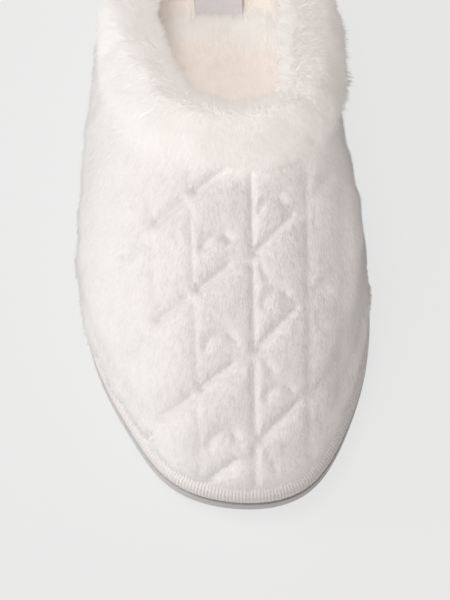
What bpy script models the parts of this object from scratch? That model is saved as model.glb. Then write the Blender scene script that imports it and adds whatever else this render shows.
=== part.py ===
"""A plush slip-on house slipper for the right foot, built in metres with +Z up.

The toe points to -Y and the slipper stands on its outsole at z = 0. Every piece is worked out from one
outline of the sole and one set of side profiles, which run from the sole's edge up to the topline.
A turn goes round the outline: 0 at the toe, a quarter on the lateral side (-X), a half at the heel.
"""

import math

import bmesh
import bpy
import numpy as np
from mathutils import Vector

MM = 0.001

# Main sizes
LENGTH = 260 * MM
THROAT_HEIGHT = 67 * MM
HEEL_HEIGHT = 48 * MM
GAP = 0.4 * MM
STATIONS = 84

# Sole layers
OUTSOLE_THICKNESS = 5.4 * MM
PLATFORM_THICKNESS = 8.0 * MM
INSOLE_THICKNESS = 5.0 * MM
TOE_SPRING = 5.0 * MM
SPRING_SHARE = 0.26
ARCH_RISE = 1.6 * MM
ARCH_FROM, ARCH_TO = 0.50, 0.72
TREAD_DEPTH = 1.4 * MM
TREAD_WIDTH = 2.4 * MM
TREAD_PITCH = 14 * MM
TREAD_ENDS = 0.10, 0.95
TREAD_WAIST = 0.47, 0.75

# Upper
UPPER_INSET = 2.8 * MM
WALL = 6.0 * MM
SEAM_FOOT = 2.0 * MM
ROWS = 10
ROW_CROWDING = 1.4
ARC_POWER = 2.15
ARC_END_TOE, ARC_END_SIDE = 86, 52
ARC_SIDE_SHARE = 0.55
SWELL_POWER = 0.8
TOE_SLOPE_SHARE = 0.30
FINE_STEPS = 240

# Topline, in distances from the toe along the length
THROAT_AT = 119 * MM
TOPLINE_END = 243 * MM
TOPLINE_HALF_WIDTH = 35.0 * MM
TOPLINE_POWERS = 2.2, 3.0
TOPLINE_LEAD = 0.25
TOPLINE_FALL = 1.6
THROAT_SHIFT = 5.3 * MM
HEEL_SHIFT = -0.5 * MM
SHIFT_POWER = 0.3

# Collar of long pile
COLLAR_DROP = 12 * MM
COLLAR_REACH = 10.0 * MM
LOCK_LENGTH = 2.8 * MM
LOCK_DROOP = 1.0 * MM
LOCK_VARIES = 0.35
LOCK_TIP = 0.36
LOCK_SPACING = 6.8 * MM
LOCK_SEED = 5

# Cable relief, laid out in a plane that leans back with the vamp: x across, lie up from the toe
LIE_TILT = math.radians(28)
GROOVE_WIDTH = 4.6 * MM
GROOVE_DEPTH = 1.8 * MM
TWIST_PITCH = 33.5 * MM
RIB_LIE = 17 * MM, 117 * MM

# Label on the insole
LABEL_SIZE = 18.5 * MM, 26 * MM, 0.7 * MM
LABEL_AT = 1.2 * MM, 80 * MM

# Sole edge: share of length from the toe, lateral edge and medial edge in millimetres from the length axis
OUTLINE = (
    (0.00, 6.6, 6.6),
    (0.02, -15.6, 25.0),
    (0.06, -27.4, 34.2),
    (0.12, -36.4, 41.8),
    (0.20, -45.8, 48.6),
    (0.30, -51.6, 51.4),
    (0.40, -51.0, 48.2),
    (0.52, -47.4, 42.6),
    (0.64, -42.7, 38.6),
    (0.76, -38.4, 36.2),
    (0.88, -33.6, 33.2),
    (0.96, -23.4, 23.6),
    (1.00, 0.5, 0.5),
)

# Swell of the plush past its seam: share of length from the toe, lateral and medial swell in millimetres
SWELL = (
    (0.00, 1.0, 1.0),
    (0.12, 3.0, 2.5),
    (0.30, 5.0, 5.0),
    (0.50, 6.2, 5.6),
    (0.70, 6.5, 6.5),
    (0.90, 4.5, 4.5),
    (1.00, 3.0, 3.0),
)

# Edge of each sole layer from its underside to its top: inset in millimetres, share of the layer's thickness
OUTSOLE_EDGE = ((2.2, 0.0), (0.6, 0.22), (0.0, 0.55), (0.3, 1.0))
PLATFORM_EDGE = ((1.6, 0.0), (0.4, 0.16), (0.0, 0.42), (0.5, 0.72), (2.2, 0.93), (4.2, 1.0))
INSOLE_EDGE = ((10.2, 0.0), (9.9, 0.45), (10.8, 0.82), (13.5, 1.0))

# Collar section, round from its lower edge outside to its lower edge inside.
# Outside and inside: drop below the rim and height of pile, in millimetres.
# Over the rim: turn in degrees from the outer face, share of the collar's reach.
COLLAR_OUTSIDE = ((12.0, 1.2), (10.5, 4.4), (6.0, 6.6))
COLLAR_OVER = ((25, 1.00), (65, 0.98), (105, 0.92), (150, 0.86))
COLLAR_INSIDE = ((3.0, 5.0), (5.5, 3.6), (6.0, 1.2))

# Cable columns in millimetres: left edge, right edge, lie of the lowest twist, its rise, number of twists
CABLES = (
    (-26.5, -12.4, 36.0, 8.5, 3),
    (-12.4, 7.6, 14.5, 10.0, 3),
    (7.6, 26.6, 29.5, 11.0, 3),
    (26.6, 39.0, 44.5, 8.5, 2),
)

COLOURS = {
    # base colour, roughness
    "plush": ((0.83, 0.79, 0.75, 1.0), 0.95),
    "long_pile": ((0.86, 0.83, 0.79, 1.0), 0.97),
    "sock": ((0.80, 0.70, 0.64, 1.0), 0.96),
    "ribbed_tape": ((0.82, 0.79, 0.76, 1.0), 0.85),
    "sole_rubber": ((0.55, 0.53, 0.51, 1.0), 0.70),
    "satin_label": ((0.74, 0.72, 0.77, 1.0), 0.45),
}


def closed_curve(turns, values):
    """A smooth closed curve through the values at these turns, as a function of the turn."""
    count = len(turns)
    step = np.diff(np.append(turns, turns[0] + 1))
    rise = np.diff(np.append(values, values[0])) / step
    before, own = np.roll(step, 1), np.arange(count)
    matrix = np.zeros((count, count))
    matrix[own, own] = 2 * (before + step)
    matrix[own, (own - 1) % count] += step
    matrix[own, (own + 1) % count] += before
    slope = np.linalg.solve(matrix, 3 * (np.roll(rise, 1) * step + rise * before))

    def value_at(turn):
        turn = np.asarray(turn) % 1
        cell = np.clip(np.searchsorted(turns, turn, side="right") - 1, 0, count - 1)
        after = (cell + 1) % count
        wide = step[cell]
        t = (turn - turns[cell]) / wide
        start = (1 + 2 * t) * (1 - t) ** 2 * values[cell] + t * (1 - t) ** 2 * wide * slope[cell]
        end = t * t * (3 - 2 * t) * values[after] - t * t * (1 - t) * wide * slope[after]
        return start + end

    return value_at


def round_table(table):
    """A table of share, lateral and medial millimetres as a closed curve over the turn, in metres."""
    shares, lateral, medial = np.array(table).T
    turns = np.arccos(1 - 2 * shares) / (2 * math.pi)
    all_turns = np.concatenate([turns, 1 - turns[-2:0:-1]])
    all_values = np.concatenate([lateral, medial[-2:0:-1]]) * MM
    return closed_curve(all_turns, all_values)


edge_x = round_table(OUTLINE)
swell_at = round_table(SWELL)


def share_at(turn):
    """Share of the length from the toe at a turn."""
    return (1 - np.cos(2 * math.pi * np.asarray(turn))) / 2


def outline(turn, inset=0.0):
    """Plan points of the sole's edge at these turns, moved inwards, and the outward directions there."""
    tiny = 1e-4
    turn = np.asarray(turn, float)

    def edge(t):
        return np.stack([edge_x(t), (share_at(t) - 0.5) * LENGTH], axis=-1)

    along = edge(turn + tiny) - edge(turn - tiny)
    outward = np.stack([-along[..., 1], along[..., 0]], axis=-1)
    outward /= np.linalg.norm(outward, axis=-1, keepdims=True)
    return edge(turn) - inset * outward, outward


def share_of(y):
    """Share of the length from the toe at a place y."""
    return np.asarray(y) / LENGTH + 0.5


def spring(y):
    """Rise of the sole's layers towards the toe."""
    return TOE_SPRING * np.clip(1 - share_of(y) / SPRING_SHARE, 0, 1) ** 2


def arch(y):
    """Rise of the outsole's underside between forefoot and heel."""
    across = np.clip((share_of(y) - ARCH_FROM) / (ARCH_TO - ARCH_FROM), 0, 1)
    return ARCH_RISE * np.sin(math.pi * across) ** 2


PLATFORM_Z = OUTSOLE_THICKNESS + GAP
SEAT_Z = PLATFORM_Z + PLATFORM_THICKNESS + GAP
TURNS = np.arange(STATIONS) / STATIONS


def topline(turn):
    """Plan points and heights of the topline, where the plush ends under the collar."""
    share = share_at(turn)
    back = TOPLINE_LEAD * share + (1 - TOPLINE_LEAD) * share**3
    lateral = np.asarray(turn) % 1 < 0.5
    side = np.where(lateral, -1, 1)
    power = np.where(lateral, *TOPLINE_POWERS)
    half = (1 - np.abs(2 * back - 1) ** power) ** (1 / power)
    x = THROAT_SHIFT + (HEEL_SHIFT - THROAT_SHIFT) * back**SHIFT_POWER + side * half * TOPLINE_HALF_WIDTH
    y = THROAT_AT + (TOPLINE_END - THROAT_AT) * back - LENGTH / 2
    z = HEEL_HEIGHT + (THROAT_HEIGHT - HEEL_HEIGHT) * (1 - back) ** TOPLINE_FALL
    return np.stack([x, y, z], axis=-1)


def side_profiles(turn):
    """Fine points of the upper's outer face, turns by steps, from the sole's seam up to the topline."""
    turn = np.asarray(turn, float)
    seam, outward = outline(turn, UPPER_INSET)
    seam_z = SEAT_Z + spring(seam[:, 1])
    top = topline(turn)
    towards_side = np.clip(share_at(turn) / ARC_SIDE_SHARE, 0, 1)
    end = np.radians(ARC_END_TOE + (ARC_END_SIDE - ARC_END_TOE) * towards_side)
    angle = end[:, None] * np.linspace(0, 1, FINE_STEPS)
    inward = 1 - np.cos(angle) ** (2 / ARC_POWER)
    inward /= inward[:, -1:]
    arc = np.sin(angle) ** (2 / ARC_POWER)
    arc /= arc[:, -1:]
    slope_share = TOE_SLOPE_SHARE * np.clip(np.cos(2 * math.pi * turn), 0, 1)[:, None]
    rise = (1 - slope_share) * arc + slope_share * inward
    swell = swell_at(turn)[:, None] * np.sin(math.pi * rise**SWELL_POWER)
    plan = seam[:, None] + (top[:, None, :2] - seam[:, None]) * inward[..., None]
    plan = plan + outward[:, None] * swell[..., None]
    foot_z = seam_z[:, None] + SEAM_FOOT
    z = foot_z + (top[:, 2:] - foot_z) * rise
    arcs = np.concatenate([plan, z[..., None]], axis=-1)
    foot = np.concatenate([seam, seam_z[:, None]], axis=-1)
    return np.concatenate([foot[:, None], arcs], axis=1)


def along_profiles(profiles, drops):
    """Points at these drops, measured along each profile from its top end downwards."""
    steps = np.linalg.norm(np.diff(profiles, axis=1), axis=-1)
    from_top = np.cumsum(steps[:, ::-1], axis=1)
    from_top = np.concatenate([np.zeros((len(profiles), 1)), from_top], axis=1)
    picked = np.empty(np.shape(drops) + (3,))
    for i, row in enumerate(drops):
        for axis in range(3):
            picked[i, :, axis] = np.interp(row, from_top[i], profiles[i, ::-1, axis])
    return picked


def profile_lengths(profiles):
    """Length of each side profile from seam to topline."""
    return np.linalg.norm(np.diff(profiles, axis=1), axis=-1).sum(axis=1)


def mesh_object(name, points, faces, material, collection, smooth_angle=40):
    """A named mesh object from points and faces, with its finish, shaded smooth up to an angle."""
    mesh = bpy.data.meshes.new(name)
    mesh.from_pydata([tuple(p) for p in points], [], faces)
    made = bpy.data.objects.new(name, mesh)
    collection.objects.link(made)
    finish(made, material)
    mesh.shade_smooth()
    mesh.set_sharp_from_angle(angle=math.radians(smooth_angle))
    return made


def finish(made, material):
    """Gives an object its material, made once for each name."""
    found = bpy.data.materials.get(material)
    if found is None:
        colour, roughness = COLOURS[material]
        found = bpy.data.materials.new(material)
        found.use_nodes = True
        shader = found.node_tree.nodes["Principled BSDF"]
        shader.inputs["Base Color"].default_value = colour
        shader.inputs["Roughness"].default_value = roughness
        shader.inputs["Metallic"].default_value = 0.0
    made.data.materials.append(found)


def ring_faces(rows, count, closed=False):
    """Quads between neighbouring rings of count points each, facing away from the rings' middle."""
    faces = []
    for row in range(rows if closed else rows - 1):
        above = (row + 1) % rows
        for i in range(count):
            j = (i + 1) % count
            faces.append((row * count + i, above * count + i, above * count + j, row * count + j))
    return faces


def cap_faces(first, count):
    """Faces across a ring, from each lateral point to the medial point at the same place along the length."""
    half = count // 2
    faces = [(first, first + 1, first + count - 1)]
    for i in range(1, half - 1):
        faces.append((first + i, first + i + 1, first + count - i - 1, first + count - i))
    faces.append((first + half - 1, first + half, first + half + 1))
    return faces


def sole_layer(name, edge, bottom, thickness, material, collection, underside=None):
    """A layer of the sole: rings along its edge, closed by faces across its underside and top."""
    points = []
    for inset, share in edge:
        plan, _ = outline(TURNS, inset * MM)
        z = bottom + share * thickness + spring(plan[:, 1])
        if underside is not None:
            z = z + (1 - share) * underside(plan[:, 1])
        points.extend(np.column_stack([plan, z]))
    faces = ring_faces(len(edge), STATIONS)
    faces += cap_faces(0, STATIONS)
    faces += [face[::-1] for face in cap_faces((len(edge) - 1) * STATIONS, STATIONS)]
    return mesh_object(name, points, faces, material, collection)


def tread_bars(collection):
    """One cutter for the outsole's tread: a bar across the underside for each groove."""
    first, last = (share * LENGTH - LENGTH / 2 for share in TREAD_ENDS)
    waist_from, waist_to = (share * LENGTH - LENGTH / 2 for share in TREAD_WAIST)
    bars = bmesh.new()
    for y in np.arange(first, last, TREAD_PITCH):
        if waist_from < y < waist_to:
            continue
        tiny = 0.5 * MM
        tilt = math.atan2(float(spring(y + tiny) - spring(y - tiny)), 2 * tiny)
        bar = bmesh.ops.create_cube(bars, size=1)["verts"]
        bmesh.ops.scale(bars, verts=bar, vec=(0.2, TREAD_WIDTH, 2 * TREAD_DEPTH))
        turned = Vector((0, y, float(spring(y) + arch(y))))
        for vertex in bar:
            across, up = vertex.co.y, vertex.co.z
            vertex.co.y = turned.y + across * math.cos(tilt) - up * math.sin(tilt)
            vertex.co.z = turned.z + across * math.sin(tilt) + up * math.cos(tilt)
    mesh = bpy.data.meshes.new("tread_bars")
    bars.to_mesh(mesh)
    bars.free()
    cutter = bpy.data.objects.new("tread_bars", mesh)
    cutter.hide_render = True
    cutter.display_type = "WIRE"
    collection.objects.link(cutter)
    return cutter


def make_outsole(parts, cutters):
    """The rubber outsole with toe spring, arch and cross grooves."""
    outsole = sole_layer("outsole", OUTSOLE_EDGE, 0.0, OUTSOLE_THICKNESS, "sole_rubber", parts, arch)
    cut = outsole.modifiers.new("tread", "BOOLEAN")
    cut.operation = "DIFFERENCE"
    cut.solver = "EXACT"
    cut.object = tread_bars(cutters)


def upper_drops(lengths):
    """Rows of the upper as distances below the topline: foot of the seam, wall, two under the collar."""
    foot = np.column_stack([lengths, lengths - SEAM_FOOT])
    shares = 1 - np.linspace(0, 1, ROWS)[None, 1:] ** ROW_CROWDING
    even = COLLAR_DROP + (lengths[:, None] - SEAM_FOOT - COLLAR_DROP) * shares
    covered = np.tile([COLLAR_DROP / 2, 0.0], (STATIONS, 1))
    return np.concatenate([foot, even, covered], axis=1)


def make_upper(parts):
    """The plush upper: an open face from the seam to the topline, thickened inwards to its wall."""
    profiles = side_profiles(TURNS)
    points = along_profiles(profiles, upper_drops(profile_lengths(profiles)))
    rows = points.shape[1]
    rings = points.transpose(1, 0, 2).reshape(-1, 3)
    upper = mesh_object("upper", rings, ring_faces(rows, STATIONS), "plush", parts)
    wall = upper.modifiers.new("wall", "SOLIDIFY")
    wall.thickness = WALL
    wall.offset = -1
    return upper


def wall_rows(upper):
    """Outer points of the thickened upper, an array of rows by turns, and the directions across its wall."""
    solid = upper.evaluated_get(bpy.context.evaluated_depsgraph_get()).to_mesh()
    points = np.array([vertex.co[:] for vertex in solid.vertices])
    outer, inner = points.reshape(2, -1, STATIONS, 3)
    across = outer - inner
    return outer, across / np.linalg.norm(across, axis=-1, keepdims=True)


def collar_rings(upper):
    """Points of the collar, section points by turns: a lip outside, a roll over the rim, a lip inside."""
    rows, across = wall_rows(upper)
    lip, lip_out = rows[-3], across[-3]
    half, half_out = rows[-2], across[-2]
    rim, rim_out = rows[-1], across[-1]
    upward = rim - half
    upward /= np.linalg.norm(upward, axis=1, keepdims=True)
    middle = rim - rim_out * WALL / 2

    def on_wall(drop):
        share = drop * MM / COLLAR_DROP
        if share > 0.5:
            blend = 2 * share - 1
            return half + (lip - half) * blend, half_out + (lip_out - half_out) * blend
        blend = 2 * share
        return rim + (half - rim) * blend, rim_out + (half_out - rim_out) * blend

    rings = []
    for drop, high in COLLAR_OUTSIDE:
        place, out = on_wall(drop)
        rings.append(place + out * high * MM)
    for turn, share in COLLAR_OVER:
        angle = math.radians(turn)
        rings.append(middle + COLLAR_REACH * share * (math.cos(angle) * rim_out + math.sin(angle) * upward))
    for drop, high in COLLAR_INSIDE:
        place, out = on_wall(drop)
        rings.append(place - out * (WALL + high * MM))
    rings.append(half - half_out * (WALL + GAP))
    rings.append(rim - rim_out * (WALL + GAP) + upward * GAP)
    rings.append(rim + rim_out * GAP + upward * GAP)
    rings.append(half + half_out * GAP)
    rings.append(lip + lip_out * GAP)
    return np.array(rings)


def raise_locks(mesh, section_rows):
    """Pulls well-spaced faces of the roll out into pointed locks of pile, fused with the roll."""
    shape = bmesh.new()
    shape.from_mesh(mesh)
    shape.faces.ensure_lookup_table()
    shape.normal_update()
    chance = np.random.default_rng(LOCK_SEED)
    order = chance.permutation([row * STATIONS + i for row in section_rows for i in range(STATIONS)])
    chosen = []
    for index in order:
        middle = shape.faces[index].calc_center_median()
        if all((middle - other.calc_center_median()).length > LOCK_SPACING for other in chosen):
            chosen.append(shape.faces[index])
    for lock in bmesh.ops.extrude_discrete_faces(shape, faces=chosen)["faces"]:
        middle = lock.calc_center_median()
        tip = lock.normal * LOCK_LENGTH * (1 + LOCK_VARIES * chance.uniform(-1, 1))
        tip.z -= LOCK_DROOP
        for vertex in lock.verts:
            vertex.co = middle + (vertex.co - middle) * LOCK_TIP + tip
    shape.to_mesh(mesh)
    shape.free()


def groove_lines():
    """Ends of each groove of the relief, as (x, lie) in metres: the lines between cables, then twists."""
    edges = sorted({edge for left, right, *_ in CABLES[:3] for edge in (left, right)})
    for edge in edges:
        yield (edge * MM, RIB_LIE[0]), (edge * MM, RIB_LIE[1])
    for left, right, first, rise, twists in CABLES:
        for i in range(twists):
            lie = first * MM + i * TWIST_PITCH
            yield ((left + 1) * MM, lie), ((right - 1) * MM, lie + rise * MM)


LEANING = Vector((0, math.cos(LIE_TILT), math.sin(LIE_TILT)))
ACROSS = Vector((1, 0, 0))
TOE = Vector((0, -LENGTH / 2, 0))


def split_along(shape, outer, start, end):
    """Splits the outer faces near one groove along its middle line and both of its edges."""
    run = Vector((end[0] - start[0], end[1] - start[1]))
    length = run.length
    run.normalize()
    along = ACROSS * run.x + LEANING * run.y
    aside = LEANING * run.x - ACROSS * run.y
    begin = TOE + ACROSS * start[0] + LEANING * start[1]
    reach = GROOVE_WIDTH / 2

    def near(face):
        places = [corner.co - begin for corner in face.verts]
        runs = [place.dot(along) for place in places]
        asides = [place.dot(aside) for place in places]
        lengthwise = max(runs) > -reach and min(runs) < length + reach
        return lengthwise and max(asides) > -reach and min(asides) < reach

    for offset in (-reach, 0, reach):
        faces = [face for face in shape.faces if face[outer] and near(face)]
        edges = dict.fromkeys(edge for face in faces for edge in face.edges)
        corners = dict.fromkeys(corner for face in faces for corner in face.verts)
        bmesh.ops.bisect_plane(
            shape,
            geom=faces + list(edges) + list(corners),
            dist=0.05 * MM,
            plane_co=begin + aside * offset,
            plane_no=aside,
        )


def relief_depth(points, lines):
    """How far each point is set down by the grooves: full depth on their lines, none at their edges."""
    x = points[:, 0]
    lie = (points - np.array(TOE)) @ np.array(LEANING)
    places = np.column_stack([x, lie])
    depth = np.zeros(len(points))
    for start, end in lines:
        start, run = np.array(start), np.array(end) - np.array(start)
        share = np.clip((places - start) @ run / (run @ run), 0, 1)
        away = np.linalg.norm(places - start - share[:, None] * run, axis=1)
        depth = np.maximum(depth, GROOVE_DEPTH * np.clip(1 - away / (GROOVE_WIDTH / 2), 0, 1))
    return depth


def press_relief(upper):
    """Fixes the upper's wall and presses the cable relief into its outer face."""
    outer_count = len(upper.data.polygons)
    solid = bpy.data.meshes.new_from_object(upper.evaluated_get(bpy.context.evaluated_depsgraph_get()))
    upper.modifiers.clear()
    upper.data = solid
    solid.name = "upper"
    shape = bmesh.new()
    shape.from_mesh(solid)
    outer = shape.faces.layers.int.new("outer")
    shape.faces.ensure_lookup_table()
    for face in shape.faces[:outer_count]:
        face[outer] = 1
    lines = list(groove_lines())
    for start, end in lines:
        split_along(shape, outer, start, end)
    shape.normal_update()
    corners = list(dict.fromkeys(corner for face in shape.faces if face[outer] for corner in face.verts))
    depths = relief_depth(np.array([corner.co[:] for corner in corners]), lines)
    pressed = [(corner, corner.normal * depth) for corner, depth in zip(corners, depths)]
    for corner, inward in pressed:
        corner.co -= inward
    shape.faces.layers.int.remove(outer)
    bmesh.ops.triangulate(shape, faces=[face for face in shape.faces if len(face.verts) > 4])
    shape.to_mesh(solid)
    shape.free()


def make_collar(upper, parts):
    """The long-pile collar: a roll that caps the upper's rim, with locks of pile fused on."""
    rings = collar_rings(upper)
    count = len(rings)
    faces = ring_faces(count, STATIONS, closed=True)
    collar = mesh_object("collar", rings.reshape(-1, 3), faces, "long_pile", parts)
    raise_locks(collar.data, range(len(COLLAR_OUTSIDE) + len(COLLAR_OVER) - 2))


def make_label(parts):
    """The plain woven label on the heel of the insole."""
    bpy.ops.mesh.primitive_cube_add(size=1)
    label = bpy.context.active_object
    label.name = label.data.name = "label"
    for collection in label.users_collection:
        collection.objects.unlink(label)
    parts.objects.link(label)
    for vertex in label.data.vertices:
        vertex.co *= Vector(LABEL_SIZE)
    top_of_insole = SEAT_Z + INSOLE_THICKNESS + GAP
    label.location = (*LABEL_AT, top_of_insole + LABEL_SIZE[2] / 2)
    finish(label, "satin_label")


def stand_centred(parts, cutters):
    """Moves everything in plan so that the middle of the slipper's box is over the origin."""
    bpy.context.view_layer.update()
    graph = bpy.context.evaluated_depsgraph_get()
    corners = []
    for part in parts.objects:
        shown = part.evaluated_get(graph)
        corners += [shown.matrix_world @ Vector(corner) for corner in shown.bound_box]
    for axis in (0, 1):
        places = [corner[axis] for corner in corners]
        middle = (min(places) + max(places)) / 2
        for thing in [*parts.objects, *cutters.objects]:
            thing.location[axis] -= middle


def main():
    """Clears the scene and builds the slipper."""
    for old in list(bpy.data.objects):
        bpy.data.objects.remove(old)
    parts = bpy.data.collections.new("plush_slipper")
    cutters = bpy.data.collections.new("cutters")
    bpy.context.scene.collection.children.link(parts)
    bpy.context.scene.collection.children.link(cutters)
    make_outsole(parts, cutters)
    sole_layer("platform", PLATFORM_EDGE, PLATFORM_Z, PLATFORM_THICKNESS, "ribbed_tape", parts)
    sole_layer("insole", INSOLE_EDGE, SEAT_Z, INSOLE_THICKNESS, "sock", parts)
    upper = make_upper(parts)
    make_collar(upper, parts)
    press_relief(upper)
    make_label(parts)
    stand_centred(parts, cutters)


if __name__ == "__main__":
    main()
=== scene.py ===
"""Looks of the plush slipper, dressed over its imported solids.

Lengths are in metres in the frame of the solids: toe towards -Y, medial side towards +X, +Z up. A turn goes
round the slipper's outline: 0 at the toe, a quarter on the lateral side, a half at the heel.
"""

import logging
import math
from collections.abc import Callable, Iterator
from dataclasses import dataclass, field
from enum import Enum

import bpy
import numpy as np
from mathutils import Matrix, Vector
from mathutils.kdtree import KDTree


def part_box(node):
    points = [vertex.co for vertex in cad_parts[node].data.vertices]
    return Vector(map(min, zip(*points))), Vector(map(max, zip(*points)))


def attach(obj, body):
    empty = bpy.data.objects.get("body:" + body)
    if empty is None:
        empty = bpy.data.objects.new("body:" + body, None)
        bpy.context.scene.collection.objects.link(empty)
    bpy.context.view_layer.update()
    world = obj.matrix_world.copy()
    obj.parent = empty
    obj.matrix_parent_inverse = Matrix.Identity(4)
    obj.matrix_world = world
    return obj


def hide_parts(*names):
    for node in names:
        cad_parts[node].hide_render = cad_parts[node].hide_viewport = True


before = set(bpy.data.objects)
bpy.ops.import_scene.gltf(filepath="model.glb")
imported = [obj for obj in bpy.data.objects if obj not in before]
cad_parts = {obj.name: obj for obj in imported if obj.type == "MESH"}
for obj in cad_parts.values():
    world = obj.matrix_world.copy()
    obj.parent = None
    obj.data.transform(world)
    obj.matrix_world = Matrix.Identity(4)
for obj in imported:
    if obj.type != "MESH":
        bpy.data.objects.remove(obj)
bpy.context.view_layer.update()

LOG = logging.getLogger("slipper")
MM = 0.001
PHOTO_SIZE = 450, 600

UP = np.array([0, 0, 1.0])

Array = np.ndarray
Pair = tuple[float, float]
Triple = tuple[float, float, float]


def unit(vectors: Array) -> Array:
    """Vectors scaled to length one."""
    return vectors / np.maximum(np.linalg.norm(vectors, axis=-1, keepdims=True), 1e-12)


def ramp(values: Array, start: Array | float, end: Array | float) -> Array:
    """Share from 0 to 1 of the way from start to end that each value has gone."""
    return np.clip((values - start) / (end - start), 0, 1)


def box_corners(node: str) -> tuple[Array, Array]:
    """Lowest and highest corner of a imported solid."""
    low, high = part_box(node)
    return np.array(low), np.array(high)


def run_along(lines: Array) -> Array:
    """Length along each line from its start to each of its points."""
    steps = np.linalg.norm(np.diff(lines, axis=1), axis=-1)
    return np.concatenate([np.zeros((len(lines), 1)), np.cumsum(steps, axis=1)], axis=1)


def pick_along(lines: Array, run: Array, wanted: Array) -> Array:
    """Picks values along lines.

    Args:
        lines: values to pick from, lines by points by columns.
        run: length along each line at its points.
        wanted: lengths to pick at, lines by picks.

    Returns:
        The values, lines by picks by columns.
    """
    rows = [
        [np.interp(own, stops, column) for column in line.T] for line, stops, own in zip(lines, run, wanted)
    ]
    return np.array(rows).transpose(0, 2, 1)


class Nap(Enum):
    """Ways that a cloth's pile is brushed."""

    TO_TOE = (0.0, -1.0, -0.25)
    TO_HEEL = (0.0, 1.0, 0.0)
    DOWN = (0.0, -0.2, -1.0)

    def over(self, normals: Array) -> Array:
        """The brushed way, laid flat on a cloth with these normals."""
        wished = np.broadcast_to(np.array(self.value), normals.shape)
        return unit(wished - normals * (wished * normals).sum(axis=-1, keepdims=True))


def closed_curve(turns: Array, values: Array) -> Callable[[Array], Array]:
    """Fits a smooth closed curve.

    Args:
        turns: rising places of the known values, from 0 to 1.
        values: the value at each of them.

    Returns:
        A function that gives the value at any turn.
    """
    count = len(turns)
    step = np.diff(np.append(turns, turns[0] + 1))
    rise = np.diff(np.append(values, values[0])) / step
    before, own = np.roll(step, 1), np.arange(count)
    matrix = np.zeros((count, count))
    matrix[own, own] = 2 * (before + step)
    matrix[own, (own - 1) % count] += step
    matrix[own, (own + 1) % count] += before
    slope = np.linalg.solve(matrix, 3 * (np.roll(rise, 1) * step + rise * before))

    def value_at(turn: Array) -> Array:
        """Reads the curve.

        Args:
            turn: any turns.

        Returns:
            The value at each of them.
        """
        turn = np.asarray(turn) % 1
        cell = np.clip(np.searchsorted(turns, turn, side="right") - 1, 0, count - 1)
        after = (cell + 1) % count
        wide = step[cell]
        t = (turn - turns[cell]) / wide
        start = (1 + 2 * t) * (1 - t) ** 2 * values[cell] + t * (1 - t) ** 2 * wide * slope[cell]
        end = t * t * (3 - 2 * t) * values[after] - t * t * (1 - t) * wide * slope[after]
        return start + end

    return value_at


def sided_curve(table: tuple[Triple, ...]) -> Callable[[Array], Array]:
    """Turns a table into a curve round the slipper.

    Args:
        table: rows of share of length from the toe, lateral value and medial value in millimetres.

    Returns:
        A function that gives the value in metres at any turn.
    """
    shares, lateral, medial = np.array(table).T
    turns = np.arccos(1 - 2 * shares) / (2 * math.pi)
    all_turns = np.concatenate([turns, 1 - turns[-2:0:-1]])
    return closed_curve(all_turns, np.concatenate([lateral, medial[-2:0:-1]]) * MM)


def smooth_noise(points: Array, pitch: float, seed: int) -> Array:
    """Gives a soft random field between about -1 and 1.

    Args:
        points: places, the last axis of size three.
        pitch: usual distance between one swell and the next.
        seed: chooses the field.

    Returns:
        One value for each point.
    """
    chance = np.random.default_rng(seed)
    total = np.zeros(points.shape[:-1])
    waves, pitches = 14, (0.7, 1.5)
    for _ in range(waves):
        way = unit(chance.normal(size=3))
        wave = 2 * math.pi / (pitch * chance.uniform(*pitches))
        total += np.sin(points @ way * wave + chance.uniform(0, 2 * math.pi))
    return total / math.sqrt(waves / 2) / 2


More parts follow.
